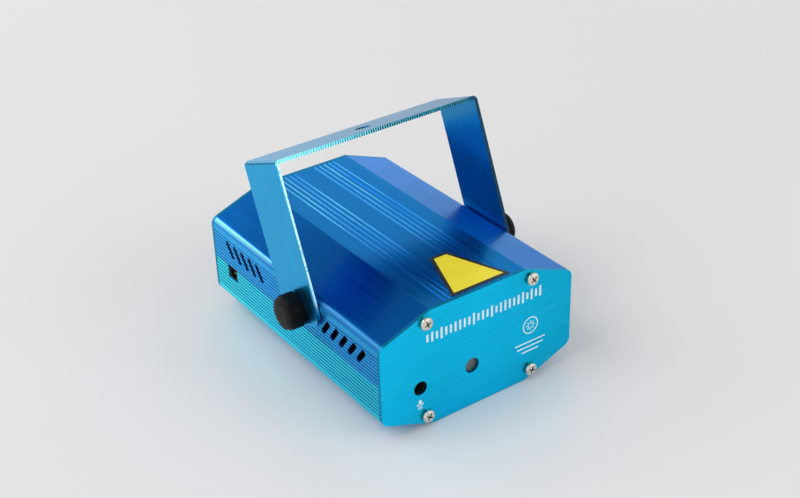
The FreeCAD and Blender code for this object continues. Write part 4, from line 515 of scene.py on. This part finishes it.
def label_paint(name, face, border):
    """A plain sticker with a printed dark margin along its four edges."""
    paint = Paint(name, {"Coat Weight": 0.15, "Coat Roughness": 0.12})
    place = paint.coordinate()
    corners = label_corners()
    inside = None
    for (ax, ay), (bx, by) in zip(corners, corners[1:] + corners[:1]):
        length = math.hypot(bx - ax, by - ay)
        inward = (-(by - ay) / length, (bx - ax) / length, 0.0)
        offset = inward[0] * ax + inward[1] * ay
        gap = paint.maths("SUBTRACT", paint.dot(place, inward), offset)
        inside = gap if inside is None else paint.maths("MINIMUM", inside, gap)
    fibre = paint.noise(place, scale=700.0, detail=3.0, roughness=0.6)
    cloud = paint.noise(place, scale=60.0, detail=3.0)
    ragged = paint.maths("ADD", inside, paint.band(fibre, *NOISE_SPAN, start=-LABEL_RAGGED, end=LABEL_RAGGED))
    tone = paint.mix(paint.band(ragged, *LABEL_MARGIN), border, paint.shade(face, cloud, low=0.93, high=1.04))
    return paint.finish(
        colour=paint.shade(tone, fibre, low=0.95, high=1.04),
        roughness=paint.band(fibre, *NOISE_SPAN, start=0.28, end=0.4),
        normal=paint.bump(fibre, distance=0.01 * MM, strength=0.4),
    )


BOARD_WEAVE = (1500, 1500, 1500)
BOARD_TRACKS = (260, 90, 90)
TRACK_EDGE = (0.08, 0.12)


def board_paint(name, mask, copper):
    """Lacquered laminate with a faint weave and buried tracks."""
    paint = Paint(name, {"Coat Weight": 0.5, "Coat Roughness": 0.15})
    weave = paint.noise(paint.scaled(BOARD_WEAVE))
    tracks = paint.cells(paint.scaled(BOARD_TRACKS))
    tone = paint.mix(paint.band(tracks, *TRACK_EDGE), copper, mask)
    return paint.finish(
        colour=paint.shade(tone, weave, low=0.85, high=1.12),
        roughness=paint.band(weave, *NOISE_SPAN, start=0.35, end=0.5),
        normal=paint.bump(weave, distance=0.01 * MM, strength=0.5),
    )


def glass_paint(name, colour, roughness, transmission):
    """Optical window or grating film with a light haze."""
    paint = Paint(name, {"Transmission Weight": transmission, "IOR": 1.5, "Coat Weight": 0.3})
    haze = paint.noise(paint.coordinate(), scale=260.0, detail=3.0, roughness=0.6)
    dust = paint.noise(paint.coordinate(), scale=2200.0)
    tone = paint.shade(colour, haze, low=0.88, high=1.08)
    return paint.finish(
        colour=paint.shade(tone, dust, low=0.94, high=1.05),
        roughness=paint.band(haze, *NOISE_SPAN, start=roughness * 0.7, end=roughness * 1.3),
        normal=paint.bump(dust, distance=0.01 * MM, strength=0.3),
    )


# One finish for each material slot, and a few nodes with a finish of their own

FACE_CYAN = linear(19, 196, 241)
RIM_CYAN = linear(26, 140, 184)
STRIP_CYAN = linear(12, 186, 236)
STRIP_BLUE = linear(6, 152, 220)
# The cut edge: bare metal, painted pale as a highlight
EDGE_CYAN = linear(184, 234, 246)
LOWER_CYAN = linear(62, 234, 255)
BLACK_KNOB = linear(5, 5, 5)
BLACK_PLASTIC = linear(12, 12, 13)
ALUMINIUM = linear(205, 206, 208)
# Painted shade in the screws' cross recesses
SCREW_RECESS_SHADE = linear(34, 28, 18)
MASK_GREEN = linear(18, 84, 52)
TRACK_GREEN = linear(58, 128, 78)
STICKER_YELLOW = linear(240, 224, 38)
STICKER_BLACK = linear(20, 18, 17)

FINISHES = {
    "blue_plate": plate_paint("brushed_cyan_plate", FACE_CYAN, RIM_CYAN),
    "blue_bracket": bracket_paint("brushed_blue_bracket", STRIP_CYAN, STRIP_BLUE, EDGE_CYAN),
    "bright_screw": metal_paint("nickel_screw", linear(222, 216, 202), roughness=0.11, recess_shade=SCREW_RECESS_SHADE),
    "sticker": label_paint("yellow_sticker", STICKER_YELLOW, STICKER_BLACK),
    "black_knob": moulded_paint("satin_black_knob", BLACK_KNOB, roughness=0.42, specular=0.13),
    "steel": metal_paint("bright_steel", linear(200, 200, 202), roughness=0.26),
    "window_glass": glass_paint("hazed_window", linear(120, 123, 123), roughness=0.3, transmission=0.45),
    "mirror_coat": metal_paint("mirror_coat", linear(235, 236, 238), roughness=0.06, marks=MIRROR_MARKS),
    "raw_aluminium": metal_paint("milled_aluminium", ALUMINIUM, roughness=0.34, marks=MILLED_MARKS),
    "module_brass": metal_paint("turned_brass", linear(214, 176, 96), roughness=0.28, marks=TURNED_MARKS),
    "soft_rubber": moulded_paint("black_rubber", linear(34, 33, 33), roughness=0.75, grain=900.0),
    "black_plastic": moulded_paint("black_plastic", BLACK_PLASTIC, roughness=0.5, specular=0.08),
    "white_plastic": moulded_paint("white_plastic", linear(224, 221, 210), roughness=0.45),
    "board_laminate": board_paint("green_laminate", MASK_GREEN, TRACK_GREEN),
    "can_sleeve": moulded_paint("blue_black_sleeve", linear(32, 36, 62), roughness=0.3, grain=800.0),
    "switch_metal": metal_paint("zinc_case", linear(190, 190, 186), roughness=0.36),
    "lead_jacket": moulded_paint("black_jacket", linear(36, 34, 34), roughness=0.5, grain=1000.0),
    "tinned_wire": metal_paint("tinned_wire", linear(214, 214, 212), roughness=0.22),
}
OWN_FINISHES = {
    "microphone": moulded_paint(
        "black_felt",
        linear(5, 5, 7),
        roughness=0.95,
        grain=2600.0,
        depth=0.06 * MM,
        specular=0.1,
    ),
    "upper_shell": shell_paint(
        "blue_upper_shell",
        side=linear(56, 176, 238),
        slope=linear(2, 104, 190),
        top=linear(14, 134, 214),
        # painted highlight colour of the shoulder round
        shoulder_highlight=linear(140, 230, 244),
        # painted shade in the side grooves
        groove_shade=linear(6, 84, 156),
        groove_metal=0.9,
    ),
    "lower_shell": shell_paint(
        "cyan_lower_shell",
        side=LOWER_CYAN,
        slope=linear(30, 202, 246),
        top=linear(6, 92, 178),
        shoulder_highlight=LOWER_CYAN,
        # a slight painted shade in the side grooves
        groove_shade=linear(44, 196, 224),
        groove_metal=0.3,
    ),
}

for entry in frame["record"]["subparts"]:
    node = entry["node"]
    finish = OWN_FINISHES[node] if node in OWN_FINISHES else FINISHES[entry["material_slot"]]
    NODES[node].data.materials.clear()
    NODES[node].data.materials.append(finish)


# Generic marks printed on the front plate, with their x and z values in millimetres

PLATE_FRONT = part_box("front_plate")[0].y
INK_DEPTH = 0.03 * MM
INK = moulded_paint("white_ink", linear(226, 240, 246), roughness=0.5, grain=1800.0, depth=0.01 * MM)


def stroke_mesh(mesh, points, width, closed=False):
    """Adds one flat inked line along a path."""
    path = [Vector((x, z)) * MM for x, z in points]
    count = len(path)
    back, face = PLATE_FRONT, PLATE_FRONT - INK_DEPTH
    sections = []
    for i, point in enumerate(path):
        before = path[i - 1] if closed or i else point
        after = path[(i + 1) % count] if closed or i + 1 < count else point
        run = (after - before).normalized()
        aside = Vector((-run.y, run.x)) * width * MM / 2
        left, right = point - aside, point + aside
        corners = ((left, back), (right, back), (right, face), (left, face))
        sections.append([mesh.verts.new((spot.x, y, spot.y)) for spot, y in corners])
    links = zip(sections, sections[1:] + sections[:1]) if closed else zip(sections, sections[1:])
    for one, two in links:
        for k in range(len(one)):
            following = (k + 1) % len(one)
            mesh.faces.new((one[k], one[following], two[following], two[k]))
    if not closed:
        mesh.faces.new(sections[0][::-1])
        mesh.faces.new(sections[-1])


def arc(centre, radius, start, end, steps):
    """Points on an arc between two angles in degrees."""
    angles = [math.radians(start + (end - start) * i / steps) for i in range(steps + 1)]
    return [(centre[0] + radius * math.cos(a), centre[1] + radius * math.sin(a)) for a in angles]


def printed(name, strokes):
    """One mark from its strokes, each a path, a width and whether the path closes."""
    mesh = bmesh.new()
    for points, width, closed in strokes:
        stroke_mesh(mesh, points, width, closed)
    bmesh.ops.recalc_face_normals(mesh, faces=mesh.faces)
    data = bpy.data.meshes.new(name)
    mesh.to_mesh(data)
    mesh.free()
    data.materials.append(INK)
    piece = bpy.data.objects.new(name, data)
    bpy.context.scene.collection.objects.link(piece)
    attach(piece, "housing")


def level_bars():
    """A row of sound level bars in the title's place."""
    count, bar_width = 26, 0.9
    first, last, middle = -24.4, 29.9, 39.5
    shortest, quick_swing, slow_swing = 1.0, 0.9, 0.7
    quick_beat, slow_beat, slow_lead = 1.7, 0.9, 0.4
    strokes = []
    for i in range(count):
        x = first + (last - first) * i / (count - 1)
        quick = quick_swing * abs(math.sin(quick_beat * i))
        slow = slow_swing * abs(math.cos(slow_beat * i + slow_lead))
        half = shortest + quick + slow
        strokes.append(([(x, middle - half), (x, middle + half)], bar_width, False))
    printed("front_level_bars", strokes)


def sound_mark():
    """A small microphone sign under the sound hole."""
    x, z = -28.4, 11.6
    capsule_width, line_width = 1.3, 0.4
    capsule_low, capsule_high = z - 0.5, z + 1.5
    cradle_radius, cradle_start, cradle_end, cradle_steps = 1.35, 180, 360, 14
    stem_low, stem_high = z - 2.2, z - 1.3
    foot_half, foot_level = 1.0, z - 2.3
    strokes = [
        ([(x, capsule_low), (x, capsule_high)], capsule_width, False),
        (arc((x, z), cradle_radius, cradle_start, cradle_end, cradle_steps), line_width, False),
        ([(x, stem_low), (x, stem_high)], line_width, False),
        ([(x - foot_half, foot_level), (x + foot_half, foot_level)], line_width, False),
    ]
    printed("front_sound_mark", strokes)


def beam_mark():
    """A ring with rays, and three short rules below it."""
    x, z = 25.3, 25.2
    ring_radius, ring_width, ring_points = 3.6, 0.45, 24
    ray_count, ray_inner, ray_outer, ray_width = 8, 0.9, 2.2, 0.4
    rule_top, rule_pitch, rule_width = 17.6, 2.1, 0.55
    rule_halves = (7.6, 6.6, 4.2)
    ring_end = 360 - 360 / ring_points
    strokes = [(arc((x, z), ring_radius, 0, ring_end, ring_points - 1), ring_width, True)]
    for i in range(ray_count):
        turn = 2 * math.pi * i / ray_count
        ends = [(x + r * math.cos(turn), z + r * math.sin(turn)) for r in (ray_inner, ray_outer)]
        strokes.append((ends, ray_width, False))
    for i, half in enumerate(rule_halves):
        height = rule_top - rule_pitch * i
        strokes.append(([(x - half, height), (x + half, height)], rule_width, False))
    printed("front_beam_mark", strokes)


level_bars()
sound_mark()
beam_mark()


# Studio

# The camera that was fitted to the photo's straight edges
PHOTO_EYE = (-0.2725, -0.4081, 0.3279)
PHOTO_YAW = math.radians(-34.46)
PHOTO_PITCH = math.radians(30.42)
PHOTO_ROLL = math.radians(-1.9)
PHOTO_LENS = 62.613
SENSOR_WIDTH = 36
NEAR_CLIP = 10 * MM

FLOOR_REACH = 4.0
FLOOR_GAP = 0.2 * MM
FLOOR_WHITE = linear(230, 229, 230)

SKY_HORIZON = 1.15
SKY_ZENITH = 0.65
SKY_BETWEEN = {0.3: 1.0, 0.55: 0.62, 0.75: 0.45}

LAMPS = {
    "left_softbox": {"place": (-1.2, 0.2, 1.5), "target": (0, 0, 0.03), "size": (1.2, 1.2), "power": 12.5},
    "rear_strip": {"place": (-0.62, 0.88, 0.72), "target": (0, 0, 0.04), "size": (0.9, 0.28), "power": 1.4},
    "front_fill": {"place": (0.9, -1.6, 1.1), "target": (0, 0, 0.03), "size": (1.0, 1.0), "power": 7.0},
}


def camera():
    level = math.cos(PHOTO_PITCH)
    back = Vector((math.sin(PHOTO_YAW) * level, -math.cos(PHOTO_YAW) * level, math.sin(PHOTO_PITCH)))
    right = Vector((math.cos(PHOTO_YAW), math.sin(PHOTO_YAW), 0))
    up = back.cross(right)
    turned_right = right * math.cos(PHOTO_ROLL) + up * math.sin(PHOTO_ROLL)
    turned_up = up * math.cos(PHOTO_ROLL) - right * math.sin(PHOTO_ROLL)
    turned = Matrix((turned_right, turned_up, back)).transposed().to_4x4()
    data = bpy.data.cameras.new("photo_camera")
    data.lens = PHOTO_LENS
    data.sensor_width = SENSOR_WIDTH
    data.clip_start = NEAR_CLIP
    eye = bpy.data.objects.new("photo_camera", data)
    eye.matrix_world = Matrix.Translation(Vector(PHOTO_EYE)) @ turned
    bpy.context.scene.collection.objects.link(eye)
    bpy.context.scene.camera = eye


def floor():
    """Pale paper with a slight sheen, just under the part."""
    mesh = bpy.data.meshes.new("studio_floor")
    corners = [(x * FLOOR_REACH, y * FLOOR_REACH, 0) for x, y in ((-1, -1), (1, -1), (1, 1), (-1, 1))]
    mesh.from_pydata(corners, [], [range(len(corners))])
    sheet = bpy.data.objects.new("studio_floor", mesh)
    sheet.location.z = -FLOOR_GAP
    bpy.context.scene.collection.objects.link(sheet)
    paint = Paint("pale_paper", {})
    cloud = paint.noise(paint.coordinate(), scale=1.4)
    paper = paint.finish(
        colour=paint.shade(FLOOR_WHITE, cloud, low=0.97, high=1.02),
        roughness=paint.band(cloud, *NOISE_SPAN, start=0.26, end=0.36),
    )
    mesh.materials.append(paper)


def lamp(name, place, target, size, power):
    data = bpy.data.lights.new(name, "AREA")
    data.shape = "RECTANGLE"
    data.size, data.size_y = size
    data.energy = power
    light = bpy.data.objects.new(name, data)
    light.location = place
    light.rotation_euler = (Vector(target) - Vector(place)).to_track_quat("-Z", "Y").to_euler()
    bpy.context.scene.collection.objects.link(light)


def sky():
    """Bright towards the horizon and dim overhead, so that the top faces stay deep blue."""
    world = bpy.data.worlds.new("studio_world")
    world.use_nodes = True
    bpy.context.scene.world = world
    tree = world.node_tree
    backdrop = tree.nodes["Background"]
    ray = tree.nodes.new("ShaderNodeTexCoord")
    split = tree.nodes.new("ShaderNodeSeparateXYZ")
    ramp = tree.nodes.new("ShaderNodeValToRGB")
    tree.links.new(ray.outputs["Generated"], split.inputs[0])
    tree.links.new(split.outputs["Z"], ramp.inputs["Fac"])
    tree.links.new(ramp.outputs["Color"], backdrop.inputs["Color"])
    stops = ramp.color_ramp.elements
    stops[0].color = grey(SKY_HORIZON)
    stops[1].color = grey(SKY_ZENITH)
    for height, level in SKY_BETWEEN.items():
        stops.new(height).color = grey(level)


camera()
floor()
sky()
for lamp_name, lamp_values in LAMPS.items():
    lamp(lamp_name, **lamp_values)

bpy.context.scene.view_settings.view_transform = "Standard"
